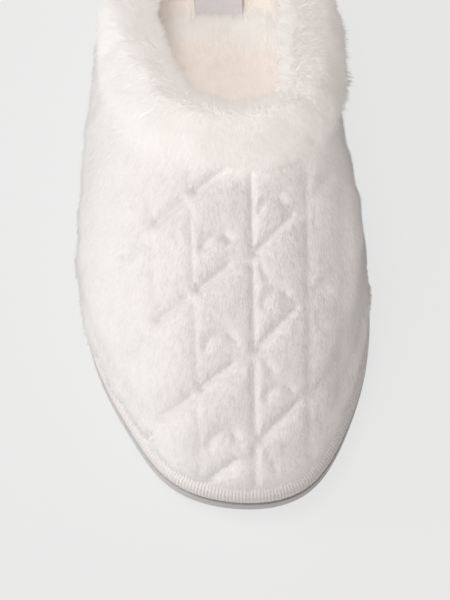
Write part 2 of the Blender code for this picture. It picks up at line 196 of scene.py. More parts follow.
@dataclass(frozen=True)
class SlipperForm:
    """The slipper's own shape: sole outline, topline and side profiles.

    The tables hold millimetres from the length axis; everything else is in metres.
    """

    length: float
    shift: float
    seat: float
    throat_height: float
    heel_height: float = 48 * MM
    wall: float = 6 * MM
    toe_spring: float = 5 * MM
    spring_share: float = 0.26
    seam_inset: float = 2.8 * MM
    seam_foot: float = 2 * MM
    arc_power: float = 2.15
    arc_ends: Pair = (86, 52)
    arc_side_share: float = 0.55
    swell_power: float = 0.8
    toe_slope_share: float = 0.30
    throat_at: float = 119 * MM
    topline_end: float = 243 * MM
    topline_half_width: float = 35 * MM
    topline_powers: Pair = (2.2, 3.0)
    topline_lead: float = 0.25
    topline_fall: float = 1.6
    topline_shifts: Pair = (5.3 * MM, -0.5 * MM)
    shift_power: float = 0.3
    fine_steps: int = 240
    fine_turns: int = 6001
    frame_turns: int = 2000

    # Share of length from the toe, lateral edge, medial edge
    edge_x = staticmethod(sided_curve((
        (0.00, 6.6, 6.6),
        (0.02, -15.6, 25.0),
        (0.06, -27.4, 34.2),
        (0.12, -36.4, 41.8),
        (0.20, -45.8, 48.6),
        (0.30, -51.6, 51.4),
        (0.40, -51.0, 48.2),
        (0.52, -47.4, 42.6),
        (0.64, -42.7, 38.6),
        (0.76, -38.4, 36.2),
        (0.88, -33.6, 33.2),
        (0.96, -23.4, 23.6),
        (1.00, 0.5, 0.5),
    )))

    # Share of length from the toe, lateral swell, medial swell of the plush past its seam
    swell = staticmethod(sided_curve((
        (0.00, 1.0, 1.0),
        (0.12, 3.0, 2.5),
        (0.30, 5.0, 5.0),
        (0.50, 6.2, 5.6),
        (0.70, 6.5, 6.5),
        (0.90, 4.5, 4.5),
        (1.00, 3.0, 3.0),
    )))

    @classmethod
    def of_frame(cls) -> "SlipperForm":
        """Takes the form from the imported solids.

        Returns:
            The form, placed where they stand.
        """
        sole_low, sole_high = box_corners("outsole")
        upper_low, upper_high = box_corners("upper")
        shift = sole_low[0] - cls.edge_x(np.linspace(0, 1, cls.frame_turns)).min()
        return cls(sole_high[1] - sole_low[1], shift, upper_low[2], upper_high[2])

    def share_at(self, turn: Array) -> Array:
        """Share of the length from the toe at a turn."""
        return (1 - np.cos(2 * math.pi * np.asarray(turn))) / 2

    def turn_at(self, y: Array) -> Array:
        """Turn on the lateral side at a place y."""
        share = np.clip(np.asarray(y) / self.length + 0.5, 0, 1)
        return np.arccos(1 - 2 * share) / (2 * math.pi)

    def even_turns(self, count: int) -> Array:
        """Turns that are evenly spaced along the sole's edge."""
        fine, run = self.edge_run()
        return np.interp(np.arange(count) / count, run / run[-1], fine)

    def edge_length(self) -> float:
        """Length once round the sole's edge."""
        return float(self.edge_run()[1][-1])

    def edge_run(self) -> tuple[Array, Array]:
        """Fine turns, and the length along the sole's edge from the toe to each."""
        fine = np.linspace(0, 1, self.fine_turns)
        return fine, run_along(self.edge(fine, 0.0)[0][None])[0]

    def edge(self, turn: Array, inset: float) -> tuple[Array, Array]:
        """Finds the sole's edge in plan.

        Args:
            turn: where round the slipper.
            inset: distance inwards from the edge.

        Returns:
            The plan points and the outward directions there.
        """
        turn, tiny = np.asarray(turn, float), 1e-4

        def place(t: Array) -> Array:
            """Plan point of the edge itself."""
            return np.stack([self.edge_x(t) + self.shift, (self.share_at(t) - 0.5) * self.length], axis=-1)

        along = place(turn + tiny) - place(turn - tiny)
        outward = unit(np.stack([-along[..., 1], along[..., 0]], axis=-1))
        return place(turn) - inset * outward, outward

    def spring(self, y: Array) -> Array:
        """Rise of the sole's layers towards the toe."""
        share = np.asarray(y) / self.length + 0.5
        return self.toe_spring * np.clip(1 - share / self.spring_share, 0, 1) ** 2

    def topline(self, turn: Array) -> Array:
        """Finds the upper's top edge.

        Args:
            turn: where round the slipper.

        Returns:
            Its points.
        """
        share = self.share_at(turn)
        back = self.topline_lead * share + (1 - self.topline_lead) * share**3
        lateral = np.asarray(turn) % 1 < 0.5
        power = np.where(lateral, *self.topline_powers)
        half = (1 - np.abs(2 * back - 1) ** power) ** (1 / power) * self.topline_half_width
        throat, heel = self.topline_shifts
        x = self.shift + throat + (heel - throat) * back**self.shift_power + np.where(lateral, -half, half)
        y = self.throat_at + (self.topline_end - self.throat_at) * back - self.length / 2
        z = self.heel_height + (self.throat_height - self.heel_height) * (1 - back) ** self.topline_fall
        return np.stack([x, y, z], axis=-1)

    def profiles(self, turn: Array) -> Array:
        """Draws the upper's outer face.

        Args:
            turn: where round the slipper.

        Returns:
            Fine points, turns by steps, from the seam up to the topline.
        """
        turn = np.asarray(turn, float)
        seam, outward = self.edge(turn, self.seam_inset)
        seam_z = self.seat + self.spring(seam[:, 1])
        top = self.topline(turn)
        towards_side = np.clip(self.share_at(turn) / self.arc_side_share, 0, 1)
        end = np.radians(self.arc_ends[0] + (self.arc_ends[1] - self.arc_ends[0]) * towards_side)
        angle = end[:, None] * np.linspace(0, 1, self.fine_steps)
        inward = 1 - np.cos(angle) ** (2 / self.arc_power)
        inward /= inward[:, -1:]
        arc = np.sin(angle) ** (2 / self.arc_power)
        arc /= arc[:, -1:]
        slope_share = self.toe_slope_share * np.clip(np.cos(2 * math.pi * turn), 0, 1)[:, None]
        rise = (1 - slope_share) * arc + slope_share * inward
        swell = self.swell(turn)[:, None] * np.sin(math.pi * rise**self.swell_power)
        plan = seam[:, None] + (top[:, None, :2] - seam[:, None]) * inward[..., None]
        plan = plan + outward[:, None] * swell[..., None]
        foot_z = seam_z[:, None] + self.seam_foot
        z = foot_z + (top[:, 2:] - foot_z) * rise
        arcs = np.concatenate([plan, z[..., None]], axis=-1)
        foot = np.concatenate([seam, seam_z[:, None]], axis=-1)
        return np.concatenate([foot[:, None], arcs], axis=1)

    def outer_sheet(self, turn: Array, shares: Array) -> Array:
        """Samples the upper's outer face.

        Args:
            turn: where round the slipper.
            shares: shares of each profile's length, from the seam to the topline.

        Returns:
            The points, turns by shares.
        """
        profiles = self.profiles(turn)
        run = run_along(profiles)
        return pick_along(profiles, run, shares * run[:, -1:])


def sheet_normals(points: Array) -> Array:
    """Finds the normals of a sheet that closes round the slipper.

    Args:
        points: the sheet, turns by rows.

    Returns:
        Its outward normals.
    """
    round_ = np.roll(points, -1, axis=0) - np.roll(points, 1, axis=0)
    up = np.gradient(points, axis=1)
    return unit(np.cross(up, round_))


@dataclass(frozen=True)
class Rib:
    """A line between two cables, in millimetres of the chart.

    Attributes:
        toe_x: where it starts near the toe.
        throat_x: where it ends near the throat.
        strength: share of the full depth.
        width: share of the usual line width.
        gaps: lies at which a twist runs over it.
    """

    toe_x: float
    throat_x: float
    strength: float
    width: float = 1.0
    gaps: tuple[float, ...] = ()


@dataclass(frozen=True)
class Cable:
    """A column of twists between two ribs, in millimetres of the chart.

    Attributes:
        left: its lateral edge.
        right: its medial edge.
        first: lie of the lowest twist's lower end.
        rise: how far a twist climbs.
        knee: share of the width at which a twist levels out.
        pitch: lie from one twist to the next.
        count: number of twists.
        strength: depth of a twist as a multiple of the usual one.
        bend: strength of the hooked mark above each twist.
        nick: strength of the short mark below each twist.
    """

    left: float
    right: float
    first: float
    rise: float
    knee: float
    pitch: float
    count: int
    strength: float
    bend: float = 0.0
    nick: float = 0.0

    # Marks of a twist: shares of the width and lies above its lower end
    hook = ((0.18, 15.0), (0.26, 17.2), (0.39, 19.0), (0.56, 19.0), (0.64, 17.0))
    nick_marks = ((0.18, -5.0), (0.30, -9.0))

    # Ends of a twist: shares of the width and of the rise, and how strong its level end is
    foot_in = 0.08
    knee_rise = 0.92
    tail_in = 0.04
    tail_strength = 0.4

    def lines(self) -> Iterator[tuple[Array, float]]:
        """Draws the cable's pressed lines.

        Returns:
            Each line's points (x, lie), with its strength.
        """
        wide = self.right - self.left
        for number in range(self.count):
            low = self.first + number * self.pitch
            foot = (self.left + self.foot_in * wide, low)
            knee = (self.left + self.knee * wide, low + self.knee_rise * self.rise)
            tail = (self.right - self.tail_in * wide, low + self.rise)
            yield np.array([foot, knee]), self.strength
            yield np.array([knee, tail]), self.strength * self.tail_strength
            for marks, share in ((self.hook, self.bend), (self.nick_marks, self.nick)):
                points = [(self.left + across * wide, low + up) for across, up in marks]
                if share > 0:
                    yield np.array(points), self.strength * share


@dataclass(frozen=True)
class CableRelief:
    """The cable-knit relief pressed into the plush.

    It is laid out in a plane that leans back with the vamp: x across from the length axis, and the lie up
    from the toe. The chart's numbers are in millimetres.
    """

    form: SlipperForm
    tilt: float = math.radians(28)
    line_width: float = 1.6
    line_depth: float = 2.2 * MM
    pillow_reach: float = 5.5
    pillow_height: float = 0.8 * MM
    fade_lie: Pair = (117, 131)
    rib_lie: Pair = (6, 126)
    gap_reach: float = 2.5
    pillow_rest: float = 0.5

    ribs = (
        Rib(-36.5, -40.0, 0.10),
        Rib(-25.6, -26.6, 0.10, 0.8),
        Rib(-12.2, -12.5, 0.19, 0.8),
        Rib(7.0, 9.6, 0.52, 0.85, (30.2, 58.5, 93.5)),
        Rib(27.2, 29.4, 0.30, 1.2),
        Rib(39.0, 42.5, 0.16, 1.4),
    )
    cables = (
        Cable(-38.0, -26.5, 26.5, 5.0, 0.75, 34.0, 3, 0.60),
        Cable(-26.5, -12.4, 37.9, 7.5, 0.80, 34.2, 3, 0.90),
        Cable(-12.4, 8.2, 13.2, 8.8, 0.62, 34.5, 4, 1.20, 0.50),
        Cable(8.2, 28.0, 29.0, 14.0, 0.80, 32.6, 3, 0.80, 0.58, 0.40),
        Cable(28.0, 40.5, 44.5, 10.0, 0.80, 33.5, 3, 0.36, 0.0, 0.50),
    )

    def lines(self) -> Iterator[tuple[Array, float, float]]:
        """Draws every pressed line.

        Returns:
            Each line's points (x, lie) in millimetres, with its strength and width.
        """
        low, high = self.rib_lie
        for rib in self.ribs:
            stops = [low, *(gap + side * self.gap_reach for gap in rib.gaps for side in (-1, 1)), high]
            for start, end in zip(stops[::2], stops[1::2]):
                lies = np.array([start, end])
                x = rib.toe_x + (rib.throat_x - rib.toe_x) * (lies - low) / (high - low)
                yield np.column_stack([x, lies]), rib.strength, rib.width
        for cable in self.cables:
            for points, strength in cable.lines():
                yield points, strength, 1.0

    def places(self, points: Array) -> Array:
        """Finds points of the slipper on the chart.

        Args:
            points: places on the slipper.

        Returns:
            Their (x, lie) in millimetres.
        """
        toe = np.array([self.form.shift, -self.form.length / 2, 0.0])
        leaning = np.array([0.0, math.cos(self.tilt), math.sin(self.tilt)])
        return np.stack([points[..., 0] - toe[0], (points - toe) @ leaning], axis=-1) / MM

    def pressed(self, points: Array) -> tuple[Array, Array]:
        """Finds how deep the plush is pressed.

        Args:
            points: places on the plush.

        Returns:
            The share of the full depth at each point, and how near it is to a line.
        """
        chart = self.places(points)
        trough = np.zeros(points.shape[:-1])
        near = np.zeros(points.shape[:-1])
        for line, strength, width in self.lines():
            for start, end in zip(line[:-1], line[1:]):
                run = end - start
                share = np.clip((chart - start) @ run / (run @ run), 0, 1)
                away = np.linalg.norm(chart - start - share[..., None] * run, axis=-1)
                trough = np.maximum(trough, strength * np.exp(-((away / (self.line_width * width)) ** 2)))
                near = np.maximum(near, strength * np.exp(-((away / self.pillow_reach) ** 2)))
        low, high = self.fade_lie
        shown = ramp(chart[..., 1], high, low)
        return shown * trough, shown * near

    def height(self, points: Array) -> Array:
        """Metres that the plush stands out from its plain form, as pillows between the lines."""
        trough, near = self.pressed(points)
        return self.pillow_height * (self.pillow_rest - near) - self.line_depth * trough


class Wire:
    """A value that runs between nodes, usable in Python sums."""

    def __init__(self, shade: "Shade", socket: bpy.types.NodeSocket) -> None:
        """Wraps one output socket."""
        self.shade = shade
        self.socket = socket

    def _sum(self, operation: str, first: "Wire | float", second: "Wire | float") -> "Wire":
        """A Math node on two values."""
        return self.shade.node("ShaderNodeMath", {"operation": operation}, {0: first, 1: second})

    def __add__(self, other: "Wire | float") -> "Wire":
        """Sum."""
        return self._sum("ADD", self, other)

    __radd__ = __add__

    def __sub__(self, other: "Wire | float") -> "Wire":
        """Difference."""
        return self._sum("SUBTRACT", self, other)

    def __rsub__(self, other: "Wire | float") -> "Wire":
        """Difference from a number."""
        return self._sum("SUBTRACT", other, self)

    def __mul__(self, other: "Wire | float") -> "Wire":
        """Product."""
        return self._sum("MULTIPLY", self, other)

    __rmul__ = __mul__


class Shade:
    """A material put together from nodes.

    Attributes:
        fine_share: how strong the finer swells of a noise are.
        bands: rough number of bands to a metre for one unit of a wave texture's scale.
    """

    fine_share = 0.6
    bands = 6

    def __init__(self, name: str) -> None:
        """Starts a material with one Principled shader.

        Args:
            name: the material's name.
        """
        self.material = bpy.data.materials.new(name)
        self.material.use_nodes = True
        self.tree = self.material.node_tree
        self.shader = self.tree.nodes["Principled BSDF"]

    def node(self, kind: str, settings: dict, sockets: dict, output: int | str = 0) -> Wire:
        """Adds a node.

        Args:
            kind: the node's type.
            settings: properties of the node, set first.
            sockets: values or wires of its inputs, by name or number.
            output: which output to pass on.

        Returns:
            The output as a wire.
        """
        added = self.tree.nodes.new(kind)
        for name, value in settings.items():
            setattr(added, name, value)
        for name, value in sockets.items():
            self.feed(added.inputs[name], value)
        return Wire(self, added.outputs[output])

    def feed(self, socket: bpy.types.NodeSocket, value: "Wire | float | tuple") -> None:
        """Links a wire to a socket, or sets a plain value on it.

        Args:
            socket: the input.
            value: what it gets.
        """
        if isinstance(value, Wire):
            self.tree.links.new(value.socket, socket)
        else:
            socket.default_value = value

    def place(self, stretch: Triple = (1, 1, 1)) -> Wire:
        """The point's own place on the object, stretched along each axis."""
        own = self.node("ShaderNodeTexCoord", {}, {}, "Object")
        return self.node("ShaderNodeMapping", {}, {"Vector": own, "Scale": stretch})

    def noise(self, scale: float, detail: float = 3, stretch: Triple = (1, 1, 1)) -> Wire:
        """Soft noise of this many swells to a metre."""
        sockets = {"Vector": self.place(stretch), "Scale": scale, "Detail": detail}
        return self.node("ShaderNodeTexNoise", {}, {**sockets, "Roughness": self.fine_share}, "Fac")

    def threads(self, direction: str, count: float, distortion: float) -> Wire:
        """Lays threads side by side.

        Args:
            direction: the way across them.
            count: rough number of threads to a metre.
            distortion: how far they wander.

        Returns:
            Their height, from 0 to 1.
        """
        settings = {"wave_type": "BANDS", "bands_direction": direction}
        sockets = {
            "Vector": self.place(), "Scale": count / self.bands, "Distortion": distortion, "Detail": 1.0,
        }
        return self.node("ShaderNodeTexWave", settings, sockets, "Fac")

    def blend(self, share: Wire, first: Triple, second: Triple) -> Wire:
        """A colour between two, by a share."""
        # The Mix node's colours are its inputs 6 and 7 and its output 2
        sockets = {"Factor": share, 6: (*first, 1.0), 7: (*second, 1.0)}
        return self.node("ShaderNodeMix", {"data_type": "RGBA"}, sockets, 2)

    def bump(self, height: Wire, distance: float, strength: float = 1.0) -> None:
        """Gives the surface a fine relief."""
        sockets = {"Height": height, "Distance": distance, "Strength": strength}
        self.feed(self.shader.inputs["Normal"], self.node("ShaderNodeBump", {}, sockets))

    def finish(
        self, colour: "Wire | Triple", roughness: "Wire | float", **fixed: float | tuple
    ) -> bpy.types.Material:
        """Sets the shader's inputs.

        Args:
            colour: its base colour.
            roughness: its roughness.
            fixed: plain values of other inputs, with underscores for spaces.

        Returns:
            The finished material.
        """
        self.feed(self.shader.inputs["Base Color"], colour if isinstance(colour, Wire) else (*colour, 1.0))
        self.feed(self.shader.inputs["Roughness"], roughness)
        for name, value in fixed.items():
            self.shader.inputs[name.replace("_", " ")].default_value = value
        return self.material


@dataclass(frozen=True)
class PlushFinish:
    """Soft pile cloth: a warm and a pale tone that drift over it, fine fibres and a little sheen."""

    name: str
    pale: Triple
    warm: Triple
    drift: float = 55
    fibre: float = 1500
    fibre_lie: Triple = (1, 0.35, 0.6)
    fibre_depth: float = 0.35 * MM
    fibre_relief: float = 0.8
    shares: Triple = (0.75, 0.35, 0.05)
    roughness: Pair = (0.88, 0.1)
    sheen: Pair = (0.25, 0.6)
    shine: float = 0.15

    def material(self) -> bpy.types.Material:
        """Makes the material.

        Returns:
            The material with its nodes.
        """
        shade = Shade(self.name)
        drift = shade.noise(self.drift, 2)
        fibre = shade.noise(self.fibre, 4, self.fibre_lie)
        shade.bump(fibre, self.fibre_depth, self.fibre_relief)
        of_drift, of_fibre, less = self.shares
        tone = shade.blend(of_drift * drift + of_fibre * fibre - less, self.warm, self.pale)
        (least, more), (sheen, spread) = self.roughness, self.sheen
        fixed = {"Sheen_Weight": sheen, "Sheen_Roughness": spread, "Specular_IOR_Level": self.shine}
        return shade.finish(tone, least + more * fibre, **fixed)


@dataclass(frozen=True)
class StrandFinish:
    """Single fibres of pile, toned in soft drifts."""

    name: str
    pale: Triple
    warm: Triple
    drift: float = 160
    roughness: float = 0.95
    sheen: Pair = (0.1, 0.6)
    shine: float = 0.1

    def material(self) -> bpy.types.Material:
        """Makes the material.

        Returns:
            The material with its nodes.
        """
        shade = Shade(self.name)
        tone = shade.blend(shade.noise(self.drift, 2), self.warm, self.pale)
        sheen, spread = self.sheen
        fixed = {"Sheen_Weight": sheen, "Sheen_Roughness": spread, "Specular_IOR_Level": self.shine}
        return shade.finish(tone, self.roughness, **fixed)


@dataclass(frozen=True)
class RubberFinish:
    """Matt moulded rubber with a fine grain and faint mottling."""

    name: str = "moulded_rubber"
    dark: Triple = (0.56, 0.54, 0.525)
    light: Triple = (0.66, 0.64, 0.625)
    grain: float = 2600
    grain_depth: float = 0.12 * MM
    grain_relief: float = 0.6
    grain_share: float = 0.3
    mottle: float = 90
    roughness: Pair = (0.55, 0.2)
    shine: float = 0.35

    def material(self) -> bpy.types.Material:
        """Makes the material.

        Returns:
            The material with its nodes.
        """
        shade = Shade(self.name)
        grain = shade.noise(self.grain, 2)
        shade.bump(grain, self.grain_depth, self.grain_relief)
        mottled = (1 - self.grain_share) * shade.noise(self.mottle, 3) + self.grain_share * grain
        tone = shade.blend(mottled, self.dark, self.light)
        least, more = self.roughness
        return shade.finish(tone, least + more * grain, Specular_IOR_Level=self.shine)


@dataclass(frozen=True)
class TapeFinish:
    """Ribbed woven tape: fine cross threads over its ribs."""

    name: str = "ribbed_tape"
    dark: Triple = (0.79, 0.75, 0.73)
    light: Triple = (0.88, 0.845, 0.825)
    threads: float = 1900
    wander: float = 1.2
    thread_depth: float = 0.15 * MM
    thread_relief: float = 0.7
    thread_share: float = 0.6
    fuzz: float = 1400
    fuzz_share: float = 0.5
    drift: float = 70
    roughness: Pair = (0.75, 0.15)
    sheen: float = 0.15
    shine: float = 0.25

    def material(self) -> bpy.types.Material:
        """Makes the material.

        Returns:
            The material with its nodes.
        """
        shade = Shade(self.name)
        thread = shade.threads("Z", self.threads, self.wander)
        fuzz = shade.noise(self.fuzz, 3)
        woven = self.thread_share * thread + (1 - self.thread_share) * fuzz
        shade.bump(woven, self.thread_depth, self.thread_relief)
        share = self.fuzz_share * fuzz + (1 - self.fuzz_share) * shade.noise(self.drift, 2)
        tone = shade.blend(share, self.dark, self.light)
        fixed = {"Sheen_Weight": self.sheen, "Specular_IOR_Level": self.shine}
        least, more = self.roughness
        return shade.finish(tone, least + more * fuzz, **fixed)


@dataclass(frozen=True)
class SatinFinish:
    """Satin-woven label cloth, bare, with a soft lengthwise gloss."""

    name: str = "satin_label"
    dark: Triple = (0.76, 0.735, 0.775)
    light: Triple = (0.87, 0.85, 0.885)
    threads: float = 5200
    wander: float = 0.6
    thread_depth: float = 0.08 * MM
    thread_relief: float = 0.6
    thread_share: float = 0.6
    drift: float = 300
    roughness: Pair = (0.42, 0.12)
    shine: float = 0.45

    def material(self) -> bpy.types.Material:
        """Makes the material.

        Returns:
            The material with its nodes.
        """
        shade = Shade(self.name)
        thread = shade.threads("DIAGONAL", self.threads, self.wander)
        shade.bump(thread, self.thread_depth, self.thread_relief)
        share = self.thread_share * thread + (1 - self.thread_share) * shade.noise(self.drift, 2)
        tone = shade.blend(share, self.dark, self.light)
        least, more = self.roughness
        return shade.finish(tone, least + more * thread, Specular_IOR_Level=self.shine)


@dataclass(frozen=True)
class FloorFinish:
    """The plain pale floor."""

    name: str = "pale_floor"
    colour: Triple = (0.14, 0.14, 0.14)
    glow: float = 0.71
    roughness: float = 0.9

    def material(self) -> bpy.types.Material:
        """Makes the material, a matt sheet lit from below."""
        fixed = {"Emission_Color": (1.0,) * 4, "Emission_Strength": self.glow, "Specular_IOR_Level": 0.0}
        return Shade(self.name).finish(self.colour, self.roughness, **fixed)


def mesh_piece(
    name: str, points: Array, faces: list[Array], finish: bpy.types.Material, normals: Array | None = None
) -> bpy.types.Object:
    """Makes a smooth-shaded mesh object from arrays.

    Args:
        name: the piece's name.
        points: its corners.
        faces: arrays of faces, each with one number of corners.
        finish: its material.
        normals: shading normals of the corners, if they differ from the mesh's own.

    Returns:
        The object, linked into the scene.
    """
    mesh = bpy.data.meshes.new(name)
    corners = np.concatenate([np.asarray(face).reshape(-1) for face in faces]).astype(np.int32)
    sizes = np.concatenate([np.full(len(face), np.shape(face)[1]) for face in faces]).astype(np.int32)
    mesh.vertices.add(len(points))
    mesh.vertices.foreach_set("co", np.asarray(points, np.float32).reshape(-1))
    mesh.loops.add(len(corners))
    mesh.loops.foreach_set("vertex_index", corners)
    mesh.polygons.add(len(sizes))
    mesh.polygons.foreach_set("loop_start", np.concatenate([[0], np.cumsum(sizes)[:-1]]).astype(np.int32))
    mesh.update(calc_edges=True)
    mesh.validate()
    mesh.shade_smooth()
    if normals is not None:
        mesh.normals_split_custom_set_from_vertices(np.asarray(normals, np.float32).tolist())
    mesh.materials.append(finish)
    made = bpy.data.objects.new(name, mesh)
    bpy.context.scene.collection.objects.link(made)
    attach(made, "root")
    LOG.info("%s: %d faces", name, len(mesh.polygons))
    return made


def ring_faces(rows: int, count: int, closed: bool = False) -> Array:
    """Quads between neighbouring rings.

    Args:
        rows: number of rings.
        count: points in each ring.
        closed: whether the last ring joins the first.

    Returns:
        The corners of each quad, facing outwards for rings that go up.
    """
    row = np.arange(rows if closed else rows - 1)[:, None]
    i = np.arange(count)[None, :]
    j, above = (i + 1) % count, (row + 1) % rows
    quads = np.stack([row * count + i, above * count + i, above * count + j, row * count + j], axis=-1)
    return quads.reshape(-1, 4)


def cap_faces(ring: Array, first: int, upward: bool) -> Array:
    """Triangles across a ring, stitched from its lateral side to its medial side.

    Args:
        ring: plan points of the ring, from the toe round the lateral side.
        first: number of the ring's first point.
        upward: whether the faces look up.

    Returns:
        The corners of each triangle.
    """
    count = len(ring)
    heel = int(np.argmax(ring[:, 1]))
    lateral = list(range(0, heel + 1))
    medial = [0, *range(count - 1, heel - 1, -1)]
    triangles, i, j = [], 0, 0
    while i < len(lateral) - 1 or j < len(medial) - 1:
        left_next = ring[lateral[i + 1], 1] if i < len(lateral) - 1 else np.inf
        right_next = ring[medial[j + 1], 1] if j < len(medial) - 1 else np.inf
        if left_next <= right_next:
            corner = (lateral[i], lateral[i + 1], medial[j])
            i += 1
        else:
            corner = (lateral[i], medial[j + 1], medial[j])
            j += 1
        if len(set(corner)) == 3:
            triangles.append(corner[::-1] if upward else corner)
    return np.array(triangles) + first


@dataclass(frozen=True)
class Strands:
    """Fibres of pile as slim closed spikes, joined into one mesh.

    Attributes:
        length: usual length of a fibre.
        width: thickness at its root.
        lift: share of the fibre's way that leaves the cloth, the rest lies along it.
        spread: random share of its way.
        varies: random share of its length.
        gather: how far tips draw together into tufts.
        tuft: reach of a tuft.
        tufts: number of tufts.
        blend: share of the cloth's own normal in the shading.
        sink: depth of its root in the cloth.
        stray: weight of the random way beside the brushed one.
        least_lift: least share of its way that leaves the cloth.
        cell_reach: half the share of its cell in the flat map that a fibre fills.
    """

    length: float
    width: float
    lift: float
    spread: float = 0.35
    varies: float = 0.3
    gather: float = 0.0
    tuft: float = 4 * MM
    tufts: int = 600
    blend: float = 0.75
    sink: float = 0.4 * MM
    stray: float = 0.5
    least_lift: float = 0.12
    cell_reach: float = 0.42

    def scatter(
        self, points: Array, normals: Array, ways: Array, count: int, chance: np.random.Generator,
        thin: Array | None = None,
    ) -> tuple[Array, Array, Array]:
        """Picks roots evenly over a sheet.

        Args:
            points: the sheet, turns by rows, closed round its turns.
            normals: its normals.
            ways: the way the pile lies there.
            count: number of roots.
            chance: the random source.
            thin: share of the full cover at each point, if it changes.

        Returns:
            Places, normals and ways at the roots.
        """
        after = np.roll(points, -1, axis=0)
        across, up = after[:, :-1] - points[:, :-1], points[:, 1:] - points[:, :-1]
        area = np.linalg.norm(np.cross(across, up), axis=-1)
        if thin is not None:
            area = area * thin[:, :-1]
        cell = chance.choice(area.size, size=count, p=(area / area.sum()).reshape(-1))
        i, j = np.divmod(cell, area.shape[1])
        k = (i + 1) % len(points)
        u, v = chance.random((2, count, 1))

        def inside(values: Array) -> Array:
            """Reads a sheet inside its cells.

            Args:
                values: the sheet's values, turns by rows.

            Returns:
                Values between the four corners of each chosen cell.
            """
            near = values[i, j] * (1 - u) + values[k, j] * u
            far = values[i, j + 1] * (1 - u) + values[k, j + 1] * u
            return near * (1 - v) + far * v

        return inside(points), unit(inside(normals)), unit(inside(ways))

    def tips(
        self, roots: Array, normals: Array, ways: Array, sizes: Array | float, chance: np.random.Generator
    ) -> Array:
        """Finds the ends of the fibres, drawn together into tufts.

        Args:
            roots: where the fibres start.
            normals: the cloth's normals there.
            ways: the way the pile lies there.
            sizes: each fibre's length as a multiple of the usual one.
            chance: the random source.

        Returns:
            The ends.
        """
        stray = chance.normal(size=roots.shape) * self.spread
        way = unit(ways * (1 - self.lift) + normals * self.lift + stray * self.stray)
        away = (way * normals).sum(axis=1, keepdims=True)
        way = unit(way + normals * np.maximum(self.least_lift - away, 0))
        size = sizes * self.length * (1 + self.varies * chance.uniform(-1, 1, len(roots)))
        ends = roots + way * size[:, None]
        if self.gather == 0:
            return ends
        heads = chance.choice(len(roots), size=self.tufts, replace=False)
        tree = KDTree(self.tufts)
        for number, head in enumerate(heads):
            tree.insert(Vector(roots[head]), number)
        tree.balance()
        nearest = np.array([heads[tree.find(Vector(root))[1]] for root in roots])
        pull = np.exp(-((np.linalg.norm(roots[nearest] - roots, axis=1) / self.tuft) ** 2)) * self.gather
        return ends + (ends[nearest] - ends) * pull[:, None]

    def pieces(
        self, name: str, finish: bpy.types.Material, spots: tuple[Array, Array, Array],
        chance: np.random.Generator, parts: int = 1, sizes: Array | float = 1.0,
    ) -> list[bpy.types.Object]:
        """Builds the fibres.

        Args:
            name: start of the pieces' names.
            finish: their material.
            spots: where the fibres start, the cloth's normals and the way the pile lies there.
            chance: the random source.
            parts: number of pieces that share the fibres.
            sizes: each fibre's length as a multiple of the usual one.

        Returns:
            The joined meshes.
        """
        roots, normals, ways = spots
        ends = self.tips(roots, normals, ways, sizes, chance)
        made = []
        for part in range(parts):
            own = slice(part, None, parts)
            made.append(self.piece(f"{name}_{part + 1}", finish, roots[own], normals[own], ends[own]))
        return made

    def piece(
        self, name: str, finish: bpy.types.Material, roots: Array, normals: Array, ends: Array
    ) -> bpy.types.Object:
        """Builds one piece of fibres.

        Args:
            name: the piece's name.
            finish: its material.
            roots: where the fibres start.
            normals: the cloth's normals there.
            ends: where the fibres end.

        Returns:
            The joined mesh.
        """
        count = len(roots)
        along = unit(ends - roots)
        side = unit(np.cross(along, normals))
        other = np.cross(along, side)
        starts = roots - normals * self.sink
        angles = math.pi / 2 + np.arange(3) * 2 * math.pi / 3
        cosine, sine = np.cos(angles)[None, :, None], np.sin(angles)[None, :, None]
        ring = cosine * side[:, None] + sine * other[:, None]
        foot = starts[:, None] + ring * self.width / 2
        points = np.concatenate([foot, ends[:, None]], axis=1)
        corners = np.array([(0, 1, 3), (1, 2, 3), (2, 0, 3), (2, 1, 0)])
        faces = [(corners[None] + points.shape[1] * np.arange(count)[:, None, None]).reshape(-1, 3)]
        around = np.concatenate([ring, along[:, None]], axis=1)
        shading = unit(self.blend * normals[:, None] + (1 - self.blend) * around)
        made = mesh_piece(name, points.reshape(-1, 3), faces, finish, shading.reshape(-1, 3))
        self.lay_map(made.data, points.shape[1], count)
        # Real fibres are finer and let light by, so these cast no hard shadows on each other
        made.visible_shadow = False
        return made

    def lay_map(self, mesh: bpy.types.Mesh, corners: int, count: int) -> None:
        """Gives each fibre a cell of its own in the mesh's flat map.

        Args:
            mesh: the joined fibres.
            corners: points of one fibre.
            count: number of fibres.
        """
        columns = math.ceil(math.sqrt(count))
        vertex = np.empty(len(mesh.loops), np.int32)
        mesh.loops.foreach_get("vertex_index", vertex)
        fibre, corner = np.divmod(vertex, corners)
        cell = np.stack([fibre % columns, fibre // columns], axis=1)
        angle = corner * 2 * math.pi / corners
        inside = 0.5 + self.cell_reach * np.stack([np.cos(angle), np.sin(angle)], axis=1)
        flat = mesh.uv_layers.new(name="OFBake")
        flat.data.foreach_set("uv", ((cell + inside) / columns).astype(np.float32).reshape(-1))


